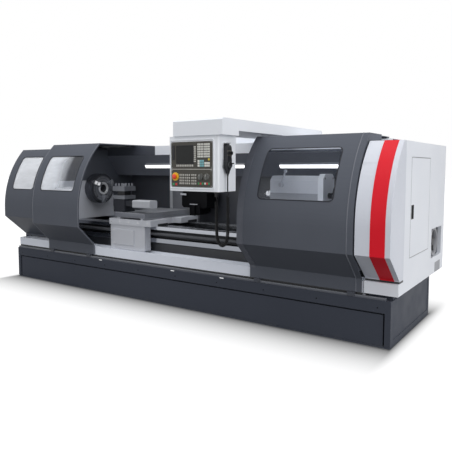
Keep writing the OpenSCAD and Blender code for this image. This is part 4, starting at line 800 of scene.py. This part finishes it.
def guard_front(shape, z):
    """Depth and outward normal of a guard's front at a height, in the working frame."""
    bulge, crease, curve, brow, top, foot_y, foot_z = shape
    if z >= curve:
        radius = ((brow - bulge) ** 2 + (top - curve) ** 2) / (2 * (brow - bulge))
        rise = z - curve
        run = math.sqrt(radius * radius - rise * rise)
        return bulge + radius - run, Vector((0, -run / radius, rise / radius))
    if z >= crease:
        return bulge, FRONT
    if z > foot_z:
        share = (z - foot_z) / (crease - foot_z)
        slope = Vector((0, bulge - foot_y, crease - foot_z)).normalized()
        return foot_y + share * (bulge - foot_y), Vector((0, -slope.z, slope.y))
    return foot_y, FRONT


def guard_strip(bm, shape, x, low, high, outline):
    """Sweeps an outline up the front of a guard at one place along the machine."""
    marks = [shape[6], shape[1], shape[2]]
    heights = [low] + [z for z in marks if low < z < high] + [high]
    fine = []
    for z0, z1 in zip(heights, heights[1:]):
        steps = 24 if z0 >= shape[2] else 2
        fine += [z0 + (z1 - z0) * i / steps for i in range(steps)]
    fine.append(high)
    points, normals = [], []
    for z in fine:
        y, out = guard_front(shape, z)
        points.append(spot(x, y, z))
        normals.append(out)
    sweep(bm, points, normals, outline)


class LATHE_OT_stage(Operator):
    """Adds the camera, the soft lights, the surroundings and a pale floor with a painted shadow"""

    bl_idname = "lathe.stage"
    bl_label = "Stage"

    def execute(self, context):
        stage = context.scene.lathe_stage
        data = bpy.data.cameras.new("photo_camera")
        data.lens = stage.lens
        data.sensor_width = 36.0
        data.shift_x, data.shift_y = CAMERA_SHIFT
        camera = bpy.data.objects.new("photo_camera", data)
        camera.location = spot(*CAMERA_AT)
        camera.rotation_euler = (math.radians(90 - CAMERA_DOWN), 0.0, math.radians(CAMERA_TURN))
        context.scene.collection.objects.link(camera)
        context.scene.camera = camera
        context.scene.view_settings.view_transform = "Standard"
        self.light(context, "right_softbox", stage.key, (6.0, 4.0), (8.0, -2.0, 2.6), (1.6, 0.0, 1.0))
        self.light(context, "top_softbox", stage.top, (8.0, 5.0), (0.5, -1.4, 5.2), (0.2, -0.1, 0.8))
        self.light(context, "front_softbox", stage.fill, (9.0, 4.0), (-1.5, -7.5, 3.0), (-0.2, 0.0, 0.9))
        self.surroundings(context, stage.ambient)
        self.floor(context)
        return {"FINISHED"}

    def light(self, context, name, power, size, place, aim):
        """Soft rectangular light that looks at a point."""
        data = bpy.data.lights.new(name, "AREA")
        data.shape = "RECTANGLE"
        data.size, data.size_y = size
        data.energy = power
        lamp = bpy.data.objects.new(name, data)
        lamp.location = place
        lamp.rotation_euler = (Vector(aim) - Vector(place)).to_track_quat("-Z", "Y").to_euler()
        context.scene.collection.objects.link(lamp)

    def surroundings(self, context, ambient):
        """Even light all round, white where the camera, gloss or glass looks at it."""
        world = bpy.data.worlds.new("studio")
        context.scene.world = world
        world.use_nodes = True
        tree = world.node_tree
        shown = self.shown_rays(tree)
        strength = tree.nodes.new("ShaderNodeMapRange")
        strength.inputs["To Min"].default_value = ambient
        tree.links.new(shown, strength.inputs["Value"])
        background = tree.nodes["Background"]
        background.inputs["Color"].default_value = (1.0, 1.0, 1.0, 1.0)
        tree.links.new(strength.outputs["Result"], background.inputs["Strength"])

    def shown_rays(self, tree):
        """1 for rays from the camera, gloss and glass, 0 for the rest."""
        path = tree.nodes.new("ShaderNodeLightPath")
        total = path.outputs["Is Camera Ray"]
        for ray in ("Is Glossy Ray", "Is Transmission Ray"):
            add = tree.nodes.new("ShaderNodeMath")
            add.operation = "MAXIMUM"
            tree.links.new(total, add.inputs[0])
            tree.links.new(path.outputs[ray], add.inputs[1])
            total = add.outputs["Value"]
        return total

    def floor(self, context):
        """Pale floor that goes white away from the object and keeps its soft shadow, with a painted shadow
        too: its glow drops to grey close to the base.
        """
        bm = bmesh.new()
        bmesh.ops.create_grid(bm, x_segments=8, y_segments=8, size=FLOOR_SIZE)
        mesh = bpy.data.meshes.new("studio_floor")
        bm.to_mesh(mesh)
        bm.free()
        ground = bpy.data.objects.new("studio_floor", mesh)
        context.scene.collection.objects.link(ground)
        finish = Finish("studio_floor", srgb(84, 85, 87), 0.9)
        finish.mottle(0.8, 0.01)
        low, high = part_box("base_stand")
        away = self.away_from(finish, (low + high) / 2, (high - low) / 2)
        # Painted shadow: the floor's glow is dimmest at the base and fades in over the reach, with a painted
        # contact shadow right against it
        painted_shadow_share = finish.remap(away, 0.0, PAINTED_SHADOW_REACH, 1.0, 0.0)
        soft = finish.remap(finish.math("MULTIPLY", painted_shadow_share, painted_shadow_share), 0.0, 1.0, 0.94, 0.10)
        rise = finish.math("ADD", soft, finish.remap(away, 0.5, 1.6, 0.0, 0.08))
        rise = finish.math("MULTIPLY", rise, finish.remap(away, 0.0, PAINTED_CONTACT_REACH, 0.2, 1.0))
        glow = finish.node("ShaderNodeEmission")
        shown = self.shown_rays(finish.tree)
        finish.feed(glow.inputs["Strength"], finish.math("MULTIPLY", shown, rise))
        both = finish.tree.nodes.new("ShaderNodeAddShader")
        finish.feed(both.inputs[0], finish.shader.outputs["BSDF"])
        finish.feed(both.inputs[1], glow.outputs["Emission"])
        finish.feed(finish.tree.nodes["Material Output"].inputs["Surface"], both.outputs["Shader"])
        mesh.materials.append(finish.material)

    def away_from(self, finish, middle, half):
        """Distance on the floor from a rectangle, counted several times along X."""
        value = finish.place
        steps = (
            ("SUBTRACT", (middle.x, middle.y, 0.0)), ("ABSOLUTE", None), ("SUBTRACT", (half.x, half.y, 0.0)),
            ("MAXIMUM", (0.0, 0.0, 0.0)), ("MULTIPLY", (6.0, 1.0, 1.0)),
        )
        for operation, second in steps:
            made = finish.node("ShaderNodeVectorMath")
            made.operation = operation
            finish.feed(made.inputs[0], value)
            if second:
                made.inputs[1].default_value = second
            value = made.outputs["Vector"]
        length = finish.node("ShaderNodeVectorMath")
        length.operation = "LENGTH"
        finish.feed(length.inputs[0], value)
        return length.outputs["Value"]


class LATHE_OT_cord(Operator):
    """Winds the curly pendant cord along its route, from the pendant down, round and up to the gland"""

    bl_idname = "lathe.cord"
    bl_label = "Pendant cord"

    def execute(self, context):
        trim = context.scene.lathe_trim
        line, lead_count = self.wound(trim)
        data = bpy.data.curves.new("pendant_curly_cord", "CURVE")
        data.dimensions = "3D"
        data.bevel_depth = trim.cord_diameter / 2
        data.bevel_resolution = 3
        data.use_fill_caps = True
        spline = data.splines.new("POLY")
        spline.points.add(len(line) - 1)
        for i, (point, place) in enumerate(zip(spline.points, line)):
            point.co = (*place, 1.0)
            point.radius = 1.45 if i < lead_count else 1.0
        data.materials.append(FINISHES["cord_rubber"])
        cord = bpy.data.objects.new("pendant_curly_cord", data)
        context.scene.collection.objects.link(cord)
        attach(cord, "frame")
        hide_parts("pendant_cord")
        return {"FINISHED"}

    def smooth_route(self):
        """Route through the given points as many short steps, and how far along the coil starts."""
        marks = [spot(x, PENDANT_Y, z) for x, z in CORD_LEAD + CORD_COIL]
        line, start = [], 0
        for i in range(len(marks) - 1):
            if i == len(CORD_LEAD) - 1:
                start = len(line)
            p0, p1, p2, p3 = marks[max(i - 1, 0)], marks[i], marks[i + 1], marks[min(i + 2, len(marks) - 1)]
            for k in range(40):
                t = k / 40
                line.append(
                    0.5 * (2 * p1 + (p2 - p0) * t + (2 * p0 - 5 * p1 + 4 * p2 - p3) * t * t
                           + (3 * p1 - p0 - 3 * p2 + p3) * t ** 3)
                )
        line.append(marks[-1])
        return line, start

    def wound(self, trim):
        """Straight lead, then a coil round the route that opens and closes gently at its ends."""
        route, start = self.smooth_route()
        lead = route[: start + 1 : 10]
        axis = route[start:]
        travel = [0.0]
        for a, b in zip(axis, axis[1:]):
            travel.append(travel[-1] + (b - a).length)
        total = travel[-1]
        full_rate = 2 * math.pi / trim.coil_pitch
        ramp = 0.055
        points, s, turn, k = [], 0.0, 0.0, 0
        step = trim.coil_pitch / trim.coil_points
        while s < total:
            while travel[k + 1] < s:
                k += 1
            share = (s - travel[k]) / (travel[k + 1] - travel[k])
            centre = axis[k].lerp(axis[k + 1], share)
            along = (axis[k + 1] - axis[k]).normalized()
            out = along.cross(BACK).normalized()
            near_end = min(s, total - s)
            opening = min(1.0, near_end / (0.65 * ramp))
            radius = trim.coil_radius * opening * opening * (3 - 2 * opening)
            points.append(centre + (BACK * math.cos(turn) + out * math.sin(turn)) * radius)
            speed = min(1.0, near_end / ramp)
            turn += step * (35.0 + (full_rate - 35.0) * speed ** 3)
            s += step
        points.append(axis[-1])
        return lead[:-1] + points, len(lead)


class LATHE_OT_base(Operator):
    """Dresses the base, pads, chip tray and door rail, and adds rail joints, a strip of painted shade under
    the tray lip, a skirt and screws
    """

    bl_idname = "lathe.base"
    bl_label = "Base and tray"

    def execute(self, context):
        edge = context.scene.lathe_trim.edge_break
        dress(["base_stand"], "base_enamel", edge)
        dress(["levelling_pads"], "rubber", edge)
        dress(["chip_tray"], "tray_enamel")
        dress(["door_rail"], "rail_enamel_with_highlight", 0.0015)
        joints = [(x, 0, 348, 46, 9) for x in (1495, 2508, 3086)]
        plate_set("rail_joint_plates", joints, FRONT, "frame", "ground_steel", 3, 3, 1)
        places = [(x + dx, -2.6, 348) for x, *_ in joints for dx in (-15, 15)]
        screw_set("rail_joint_screws", places, FRONT, "frame", radius=3.0, height=2.2)
        # Painted shade: a dark rubber strip under the tray lip, for the shadowed gap between the base and the
        # tray
        seal = [(2188, 37, 381, 4370, 18)]
        plate_set("tray_lip_shade_strip", seal, FRONT, "frame", "rubber", 3, 3, 1)
        self.floor_skirt()
        lip = [(x, 33, 434) for x in range(70, 4360, 330)]
        screw_set("tray_lip_screws", lip, FRONT, "frame", "tray_enamel", 4.5, 2.2)
        rim = [(x, 0, 300) for x in range(90, 4600, 490)]
        screw_set("base_rim_screws", rim, FRONT, "frame", "motor_black", 5.0, 2.5)
        return {"FINISHED"}

    def floor_skirt(self):
        """Strip that closes the gap between the base and the floor."""
        low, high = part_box("base_stand")
        bm = bmesh.new()
        loop = rounded_loop((low.x / MM + 4, high.x / MM - 4), (low.y / MM + 4, high.y / MM - 4), 6)
        points = [Vector((x * MM, y * MM, 0.0)) for x, y in loop]
        top = low.z + 0.001
        outline = ((-0.003, 0.0), (0.003, 0.0), (0.003, top), (-0.003, top))
        sweep(bm, points, [UP] * len(points), outline, True)
        piece_of(bm, "floor_skirt", "base_enamel", "frame")


class LATHE_OT_guards(Operator):
    """Dresses the doors and the fixed guard, and adds window seals and rolled hems"""

    bl_idname = "lathe.guards"
    bl_label = "Doors and guards"

    def execute(self, context):
        trim = context.scene.lathe_trim
        dress(["left_guard", "left_door", "right_door"], "guard_enamel")
        dress(["headstock_bulkhead"], "bulkhead_enamel")
        dress(["right_door_edge"], "edge_rubber")
        dress(["left_door_glides", "right_door_glides"], "glide_grey", 0.0015)
        dress(["left_guard_window"], "guard_pane")
        dress(["left_door_window"], "left_door_pane")
        dress(["right_door_window"], "right_door_pane")
        for name, shape, span, heights, body in WINDOWS:
            self.seal(name, shape, span, heights, body, dome(trim.seal_width, trim.seal_height))
        hem = dome(trim.hem_width, trim.hem_height)
        inset = trim.hem_width / 2 / MM
        self.hems("left_door_hems", [LEFT_DOOR_X[0] + inset, LEFT_DOOR_X[1] - inset], "left_door", hem)
        self.hems("right_door_hems", [RIGHT_DOOR_X[1] - 46], "right_door", hem)
        return {"FINISHED"}

    def seal(self, name, shape, span, heights, body, outline):
        """Rubber seal round a window, on the curved sheet."""
        bm = bmesh.new()
        points, normals = [], []
        for x, z in rounded_loop(span, heights, WINDOW_R, 8, 20):
            y, out = guard_front(shape, z)
            points.append(spot(x, y, z))
            normals.append(out)
        sweep(bm, points, normals, outline, True)
        return piece_of(bm, name, "seal_rubber", body, 60.0)

    def hems(self, name, places, body, outline):
        """Rolled hems up the edges of a door."""
        bm = bmesh.new()
        for x in places:
            guard_strip(bm, DOOR, x, SKIRT_Z + 2, DOOR[4] - 0.5, outline)
        return piece_of(bm, name, "hem_enamel", body, 60.0)


class LATHE_OT_rear(Operator):
    """Dresses the rear guard, hood, lamps and arm, and adds wall plates, a lamp end, hood trim and covers"""

    bl_idname = "lathe.rear"
    bl_label = "Rear guard, hood and arm"

    def execute(self, context):
        dress(["rear_guard"], "rear_enamel")
        dress(["rear_hood"], "hood_enamel", 0.002)
        dress(["overhead_arm"], "arm_enamel", 0.0015)
        dress(["work_lamps"], "lamp_diffuser")
        strip, panel = [(1563, WALL_Y, 830, 46, 800)], [(1795, WALL_Y, 830, 410, 800)]
        plate_set("rear_wall_strip", strip, FRONT, "frame", "strip_enamel", 4, 4, 1.5)
        plate_set("rear_wall_panel", panel, FRONT, "frame", "wall_enamel", 3, 4, 1.2)
        self.lamp_end()
        covers = [(x, WALL_BACK_Y, 800, 900, 620) for x in (1420, 2440, 3460)]
        plate_set("rear_wall_covers", covers, BACK, "frame", "guard_enamel", 3, 18, 1.5)
        places = [
            (x + dx, WALL_BACK_Y + 3, z) for x, *_ in covers for dx in (-425, 0, 425) for z in (515, 1085)
        ]
        screw_set("rear_cover_screws", places, BACK, "frame", radius=6.0)
        hood = [(x, HOOD_BACK_Y, 1415, 1080, 260) for x in (2260, 3420)]
        plate_set("hood_rear_covers", hood, BACK, "frame", "white_enamel", 2.5, 12, 1.2)
        lip = [(3706, 675, 1492, 1332, 24)]
        plate_set("hood_lip_trim", lip, FRONT, "frame", "guard_enamel", 2, 3, 0.8)
        dark = [(1290, HOOD_BACK_Y, 1415, 700, 260)]
        plate_set("hood_rear_dark_cover", dark, BACK, "frame", "guard_enamel", 2.5, 12, 1.2)
        return {"FINISHED"}

    def lamp_end(self):
        """Left end of the first lamp, that tapers to its front like the rest of it."""
        bm = bmesh.new()
        rings = []
        for x in LAMP_X:
            corners = ((-0.5, 0), (0.5, 0), (1 / 3, LAMP_T), (-1 / 3, LAMP_T))
            rings.append([
                bm.verts.new(LAMP_MID + RIGHT * (x * MM) + (LAMP_DOWN * down * LAMP_H + LAMP_OUT * out) * MM)
                for down, out in corners
            ])
        skin(bm, rings)
        piece_of(bm, "work_lamp_end", "lamp_diffuser", "frame")


class LATHE_OT_cabinet(Operator):
    """Dresses the end cover, red band and electrical cabinet, and adds the fan's shroud and opening lip"""

    bl_idname = "lathe.cabinet"
    bl_label = "End cabinet"

    def execute(self, context):
        dress(["end_cover"], "cover_enamel", 0.0015)
        dress(["electrical_cabinet"], "cabinet_enamel", 0.0015)
        dress(["cabinet_door"], "door_enamel", 0.0008)
        dress(["red_band"], "band_enamel")
        dress(["fan_rotor"], "black_plastic", 0.0008)
        self.fan_shroud()
        return {"FINISHED"}

    def fan_shroud(self):
        """Ring round the fan and a folded lip round its opening."""
        bm = bmesh.new()
        profile = (
            (108, -70), (108, -30), (112, -24), (128, -22), (128, -19), (110, -20), (104, -26), (104, -70),
        )
        turned(bm, profile, spot(END_X, FAN_Y, FAN_Z), RIGHT, 48, True)
        piece_of(bm, "fan_shroud", "shroud_grey", "frame", 50.0)
        bm = bmesh.new()
        loop = [
            spot(END_X - 3, FAN_Y + u, FAN_Z + v)
            for u, v in rounded_loop((-FAN_W / 2, FAN_W / 2), (-FAN_H / 2, FAN_H / 2), 4)
        ]
        outline = ((0.004, -0.03), (0.004, 0.0028), (-0.001, 0.0028), (-0.001, -0.03))
        sweep(bm, loop, [RIGHT] * len(loop), outline, True)
        piece_of(bm, "fan_opening_lip", "white_enamel", "frame")


class LATHE_OT_panel(Operator):
    """Dresses the control box and operator panel, and adds key caps, screen bezel, stop button and dials"""

    bl_idname = "lathe.panel"
    bl_label = "Operator panel"

    def execute(self, context):
        dress(["control_box"], "box_enamel", 0.004)
        dress(["operator_panel"], "panel_film", 0.0008)
        dress(["display_screen"], "screen_glass")
        dress(["feed_knob", "speed_knob"], "knob_grey", 0.0012)
        dress(["cord_gland"], "black_plastic", 0.001)
        self.keys()
        self.bezels()
        self.stop_button()
        self.dials()
        return {"FINISHED"}

    def keys(self):
        """Key caps with rolled edges, one piece for each colour."""
        sets = {}
        for x0, x1, z0, z1, columns, rows, gap, colours in KEY_GROUPS:
            width, height = (x1 - x0 + gap) / columns, (z1 - z0 + gap) / rows
            for i in range(columns):
                bm = sets.setdefault(colours[i % len(colours)], bmesh.new())
                for j in range(rows):
                    centre = spot(
                        PANEL_X + x0 + (i + 0.5) * width - gap / 2, PANEL_Y,
                        PANEL_Z + z0 + (j + 0.5) * height - gap / 2,
                    )
                    raised_plate(bm, centre, FRONT, width - gap, height - gap, KEY_H, 1.6, 0.9)
        for colour, bm in sets.items():
            caps = piece_of(bm, "keys_" + colour, "key_" + colour, "frame")
            if colour == "white":
                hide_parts("panel_keys")

    def bezels(self):
        """Frame round the panel and the screen, joint between the two units, cover and corner screws."""
        bm = bmesh.new()
        points = [
            spot(PANEL_X + u, -475, PANEL_Z + v)
            for u, v in rounded_loop((-13, PANEL_W + 13), (-13, PANEL_H + 13), 14)
        ]
        sweep(bm, points, [FRONT] * len(points), dome(0.009, 0.006), True)
        piece_of(bm, "panel_surround", "box_enamel", "frame", 60.0)
        bm = bmesh.new()
        points = [
            spot(PANEL_X + u, PANEL_Y, PANEL_Z + v)
            for u, v in rounded_loop((SCREEN[0] - 3, SCREEN[1] + 1), (SCREEN[2] - 3, SCREEN[3] + 3), 5)
        ]
        sweep(bm, points, [FRONT] * len(points), dome(0.006, 0.0032), True)
        piece_of(bm, "screen_bezel", "black_plastic", "frame", 60.0)
        joint = [(PANEL_X + PANEL_W / 2, PANEL_Y, PANEL_Z + 143, PANEL_W - 6, 5)]
        plate_set("panel_joint_strip", joint, FRONT, "frame", "key_grey", 1.2, 1.5, 0.5)
        cover = [(PANEL_X + 24, PANEL_Y, PANEL_Z + 277, 26, 118)]
        plate_set("media_cover", cover, FRONT, "frame", "black_plastic", 3, 4, 1.2)
        rows = (8, 133, 153, PANEL_H - 8)
        corners = [(PANEL_X + u, PANEL_Y, PANEL_Z + v) for u in (8, PANEL_W - 8) for v in rows]
        screw_set("panel_screws", corners, FRONT, "frame", radius=2.6, height=1.4)

    def stop_button(self):
        """Yellow collar and red mushroom head."""
        bm = bmesh.new()
        turned(
            bm, ((35.3, -0.5), (35.3, 4.6), (34.4, 5.8), (31, 6.6), (24, 6.8), (13, 6.8), (13, 5.0)),
            spot(ESTOP_X, PANEL_Y, CONTROL_Z), FRONT, 48,
        )
        piece_of(bm, "stop_collar", "stop_yellow", "frame", 50.0)
        bm = bmesh.new()
        profile = (
            (11, -20), (11, 15.6), (16, 16), (19.6, 17), (20.4, 18.6), (20.4, 20.2), (19.2, 22.8),
            (16.5, 25.2), (11.5, 27), (6, 28), (0, 28.3),
        )
        turned(bm, profile, spot(ESTOP_X, PANEL_Y, CONTROL_Z), FRONT, 48)
        head = piece_of(bm, "stop_mushroom", "stop_red", "estop", 60.0)
        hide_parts("estop_button")

    def dials(self):
        """Tick marks round the override knobs and a pointer on each knob."""
        bm = bmesh.new()
        for x in (FEED_X, SPEED_X):
            for i in range(21):
                angle = math.radians(225 - 270 * i / 20)
                long = 3.0 if i % 5 == 0 else 1.8
                middle = spot(x + 27 * math.cos(angle), PANEL_Y, CONTROL_Z + 27 * math.sin(angle))
                raised_plate(bm, middle, FRONT, long, 1.2 if i % 5 else 1.8, 0.5, 0.3, 0.2)
        piece_of(bm, "override_marks", "key_white", "frame")
        for body, x in (("feed_knob", FEED_X), ("speed_knob", SPEED_X)):
            pointer = [(x, PANEL_Y - 24, CONTROL_Z + 11, 2.4, 15)]
            plate_set(body + "_pointer", pointer, FRONT, body, "key_white", 0.4, 0.8, 0.2)


class LATHE_OT_pendant(Operator):
    """Moulds the hand pendant's shell and adds its face plate, dial marks and cord sleeve"""

    bl_idname = "lathe.pendant"
    bl_label = "Hand pendant"

    def execute(self, context):
        dress(["pendant_hook"], "ground_steel", 0.0008)
        dress(["pendant_axis_knob", "pendant_rate_knob"], "black_plastic", 0.0006)
        dress(["pendant_wheel"], "dial_steel", 0.0006)
        self.shell()
        self.fittings()
        return {"FINISHED"}

    def shell(self):
        """Waisted shell lofted through rounded sections, with its cap."""
        bm = bmesh.new()
        middle_x = (PENDANT_X[0] + PENDANT_X[1]) / 2
        # Height, half width and half depth of each section
        sections = (
            (1288, 11, 11), (1291, 13, 12.5), (1304, 15, 14), (1318, 23, 16), (1334, 33, 18.3),
            (1350, 38.6, 19), (1372, 39.7, 19), (1396, 38, 19), (1418, 35.5, 19), (1445, 36, 19),
            (1472, 37, 19), (1490, 36, 18.6), (1502, 32, 17), (1508, 27, 15), (1510, 22, 12.5),
        )
        rings = []
        for z, half_w, half_t in sections:
            loop = rounded_loop((-half_w, half_w), (-half_t, half_t), min(half_t, half_w) * 0.55, 6)
            rings.append([bm.verts.new(spot(middle_x + v, PENDANT_Y + u, z)) for u, v in loop])
        skin(bm, rings)
        raised_plate(bm, spot(middle_x - 1, PENDANT_Y, 1509), UP, 18, 36, 14, 5, 3)
        shell = piece_of(bm, "pendant_shell", "black_plastic", "frame", 50.0)
        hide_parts("pendant_body")

    def fittings(self):
        """Face plate, dial marks and tapered cord sleeve."""
        face = PENDANT_X[1]
        plates = [(face - 0.4, PENDANT_Y, SELECTOR_Z, 66, 44)]
        plate_set("pendant_face", plates, RIGHT, "frame", "panel_film", 0.6, 6, 0.3)
        bm = bmesh.new()
        for i in range(50):
            angle = 2 * math.pi * i / 50
            out = Vector((0, math.cos(angle), math.sin(angle)))
            place = spot(face + 8, PENDANT_Y, DIAL_Z) + out * 25.2 * MM
            turned(bm, ((0.5, -0.3), (0.5, 0.25)), place, RIGHT, 6)
            if i % 5 == 0:
                turned(bm, ((0.6, -0.3), (0.6, 0.3)), place - out * 1.8 * MM, RIGHT, 6)
        piece_of(bm, "pendant_dial_marks", "key_white", "pendant_dial")
        bm = bmesh.new()
        profile = (
            (11, 6), (11, 0), (9.5, -4), (9.5, -8), (8, -9), (8, -14), (6.6, -15), (6.6, -22),
            (5, -28), (2.6, -30),
        )
        turned(bm, profile, spot(CORD_LEAD[0][0], PENDANT_Y, CORD_LEAD[0][1]), UP, 24)
        piece_of(bm, "pendant_cord_sleeve", "rubber", "frame", 50.0)


class LATHE_OT_drive(Operator):
    """Dresses the bed, headstock, spindle, chuck and motors, and adds chuck screws, a ring and a thread"""

    bl_idname = "lathe.drive"
    bl_label = "Bed and spindle"

    def execute(self, context):
        trim = context.scene.lathe_trim
        dress(["bed"], "bed_iron", 0.0015)
        dress(["headstock"], "casting_paint", 0.004)
        dress(["spindle", "motor_pulley"], "turned_steel", 0.0012)
        dress(["chuck_body"], "chuck_steel", 0.0015)
        # Painted highlight: the first jaw in the brighter ground steel, the other two in the duller slide
        # steel
        dress(["chuck_jaw_1"], "ground_steel", 0.0012)
        dress(["chuck_jaw_2", "chuck_jaw_3"], "slide_steel", 0.0012)
        dress(["main_motor", "z_drive_motor"], "motor_black", 0.002)
        dress(["drive_belt"], "rubber", 0.0008)
        self.chuck_screws()
        self.nose_ring()
        self.thread(trim)
        return {"FINISHED"}

    def chuck_screws(self):
        """Cap screws on the chuck's face between the jaws."""
        places = []
        for angle in (90, 210, 330):
            for turn in (-16, 16):
                a = math.radians(angle + turn)
                places.append((CHUCK_X1 - 0.3, AXIS_Y + 128 * math.cos(a), AXIS_Z + 128 * math.sin(a)))
        screw_set("chuck_screws", places, RIGHT, "spindle", "wheel_steel", 9.0, 5.0)

    def nose_ring(self):
        """Bright turned ring round the bore of the chuck."""
        bm = bmesh.new()
        turned(
            bm, ((72.6, -1), (72.6, 1.5), (70.5, 3.5), (52, 3.5), (47, -1.5), (47, -9), (72.6, -9)),
            spot(CHUCK_X1 + 10, AXIS_Y, AXIS_Z), RIGHT, 64, True,
        )
        piece_of(bm, "chuck_nose_ring", "bright_ring", "spindle")

    def thread(self, trim):
        """Feed screw with a round-bottomed helical groove and plain journals."""
        bm = bmesh.new()
        around, per_turn = 16, 7
        lead = trim.thread_lead / MM
        count = int((SCREW_X[1] - SCREW_X[0]) / lead * per_turn)
        rings = []
        for i in range(count + 1):
            x = SCREW_X[0] + (SCREW_X[1] - SCREW_X[0]) * i / count
            ring = []
            for k in range(around):
                angle = 2 * math.pi * k / around
                phase = (x / lead + k / around) % 1.0
                groove = max(0.0, math.cos(2 * math.pi * phase)) * trim.thread_depth / MM
                radius = SCREW_R - groove
                y, z = SCREW_Y + radius * math.cos(angle), SCREW_Z + radius * math.sin(angle)
                ring.append(bm.verts.new(spot(x, y, z)))
            rings.append(ring)
        skin(bm, rings)
        for x0, x1 in ((855, SCREW_X[0] + 1), (SCREW_X[1] - 1, 4355)):
            turned(bm, ((15, x0), (15, x1)), spot(0, SCREW_Y, SCREW_Z), RIGHT, 24)
        screw = piece_of(bm, "feed_screw_thread", "screw_steel", "feed_screw", 80.0)
        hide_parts("z_ball_screw")


class LATHE_OT_carriage(Operator):
    """Dresses the saddle, apron, cross slide and turret, and adds wipers, light strips on the drive box, a
    slide front and screws
    """

    bl_idname = "lathe.carriage"
    bl_label = "Carriage"

    def execute(self, context):
        dress(["saddle", "apron"], "casting_paint", 0.004)
        dress(["cross_slide"], "slide_steel", 0.002)
        dress(["turret_base"], "turret_enamel", 0.003)
        dress(["turret_head"], "turret_steel", 0.002)
        dress(["x_drive_motor"], "motor_black", 0.002)
        bm = bmesh.new()
        for x, out in ((1586, LEFT), (2181, RIGHT)):
            for y in (232, 720):
                raised_plate(bm, spot(x, y, 752), out, 150, 22, 5, 3, 1.2)
        piece_of(bm, "way_wipers", "rubber", "carriage")
        places = [(x, 50, 771) for x in range(1620, 2170, 130)]
        screw_set("saddle_screws", places, FRONT, "carriage", radius=7.0, height=4.0)
        front = [(1884, 50, 845, 418, 44)]
        plate_set("slide_front", front, FRONT, "cross_slide", "hem_enamel", 2, 3, 0.8)
        # Light-grey strips on the black drive box where it shows light marks
        links = [(2022, 762, 1036, 84, 20), (2168, 762, 929, 106, 9)]
        plate_set("drive_box_light_strips", links, FRONT, "carriage", "strip_enamel", 6, 3, 1)
        apron = [(x, 54, z) for x in (1652, 1922) for z in (545, 680)]
        screw_set("apron_screws", apron, FRONT, "carriage", radius=5.5, height=3.0)
        return {"FINISHED"}


class LATHE_OT_tailstock(Operator):
    """Dresses the tailstock, quill, centre and handwheel, and adds a drip edge and cap screws"""

    bl_idname = "lathe.tailstock"
    bl_label = "Tailstock"

    def execute(self, context):
        dress(["tailstock_body"], "tailstock_paint_with_painted_light", 0.005)
        dress(["quill", "live_centre"], "turned_steel", 0.001)
        dress(["tailstock_handwheel"], "wheel_steel", 0.001)
        dress(["quill_lock_lever"], "casting_paint", 0.001)
        edge = [(3605, TAIL_FRONT, 1112, 470, 9)]
        plate_set("tailstock_drip_edge", edge, FRONT, "tailstock", "tailstock_paint_with_painted_light", 8, 3, 1.5)
        places = [(TAIL_END, AXIS_Y + dy, z) for dy in (-85, 85) for z in (1030, 1242)]
        screw_set("tailstock_cap_screws", places, RIGHT, "tailstock", radius=8.0, height=5.0)
        return {"FINISHED"}


class LATHE_PT_dressing(Panel):
    """Lists the steps of the dressing"""

    bl_idname = "LATHE_PT_dressing"
    bl_label = "Lathe"
    bl_space_type = "VIEW_3D"
    bl_region_type = "UI"
    bl_category = "Lathe"

    def draw(self, context):
        for step in STEPS:
            self.layout.operator(step.bl_idname)
        for group in (context.scene.lathe_paint, context.scene.lathe_trim, context.scene.lathe_stage):
            for name in group.__annotations__:
                self.layout.prop(group, name)


STEPS = (
    LATHE_OT_stage, LATHE_OT_cord, LATHE_OT_base, LATHE_OT_guards, LATHE_OT_rear, LATHE_OT_cabinet,
    LATHE_OT_panel, LATHE_OT_pendant, LATHE_OT_drive, LATHE_OT_carriage, LATHE_OT_tailstock,
)
GROUPS = {"lathe_paint": LathePaint, "lathe_trim": LatheTrim, "lathe_stage": LatheStage}
CLASSES = (*GROUPS.values(), *STEPS, LATHE_PT_dressing)


def register():
    """Adds the classes and the settings."""
    for kind in CLASSES:
        bpy.utils.register_class(kind)
    for name, kind in GROUPS.items():
        setattr(bpy.types.Scene, name, PointerProperty(type=kind))


def unregister():
    """Takes the settings and the classes away."""
    for name in GROUPS:
        delattr(bpy.types.Scene, name)
    for kind in reversed(CLASSES):
        bpy.utils.unregister_class(kind)


def main():
    """Dresses the lathe."""
    register()
    mix_finishes(bpy.context)
    bpy.ops.lathe.stage()
    bpy.ops.lathe.cord()
    bpy.ops.lathe.base()
    bpy.ops.lathe.guards()
    bpy.ops.lathe.rear()
    bpy.ops.lathe.cabinet()
    bpy.ops.lathe.panel()
    bpy.ops.lathe.pendant()
    bpy.ops.lathe.drive()
    bpy.ops.lathe.carriage()
    bpy.ops.lathe.tailstock()


if __name__ == "__main__":
    main()
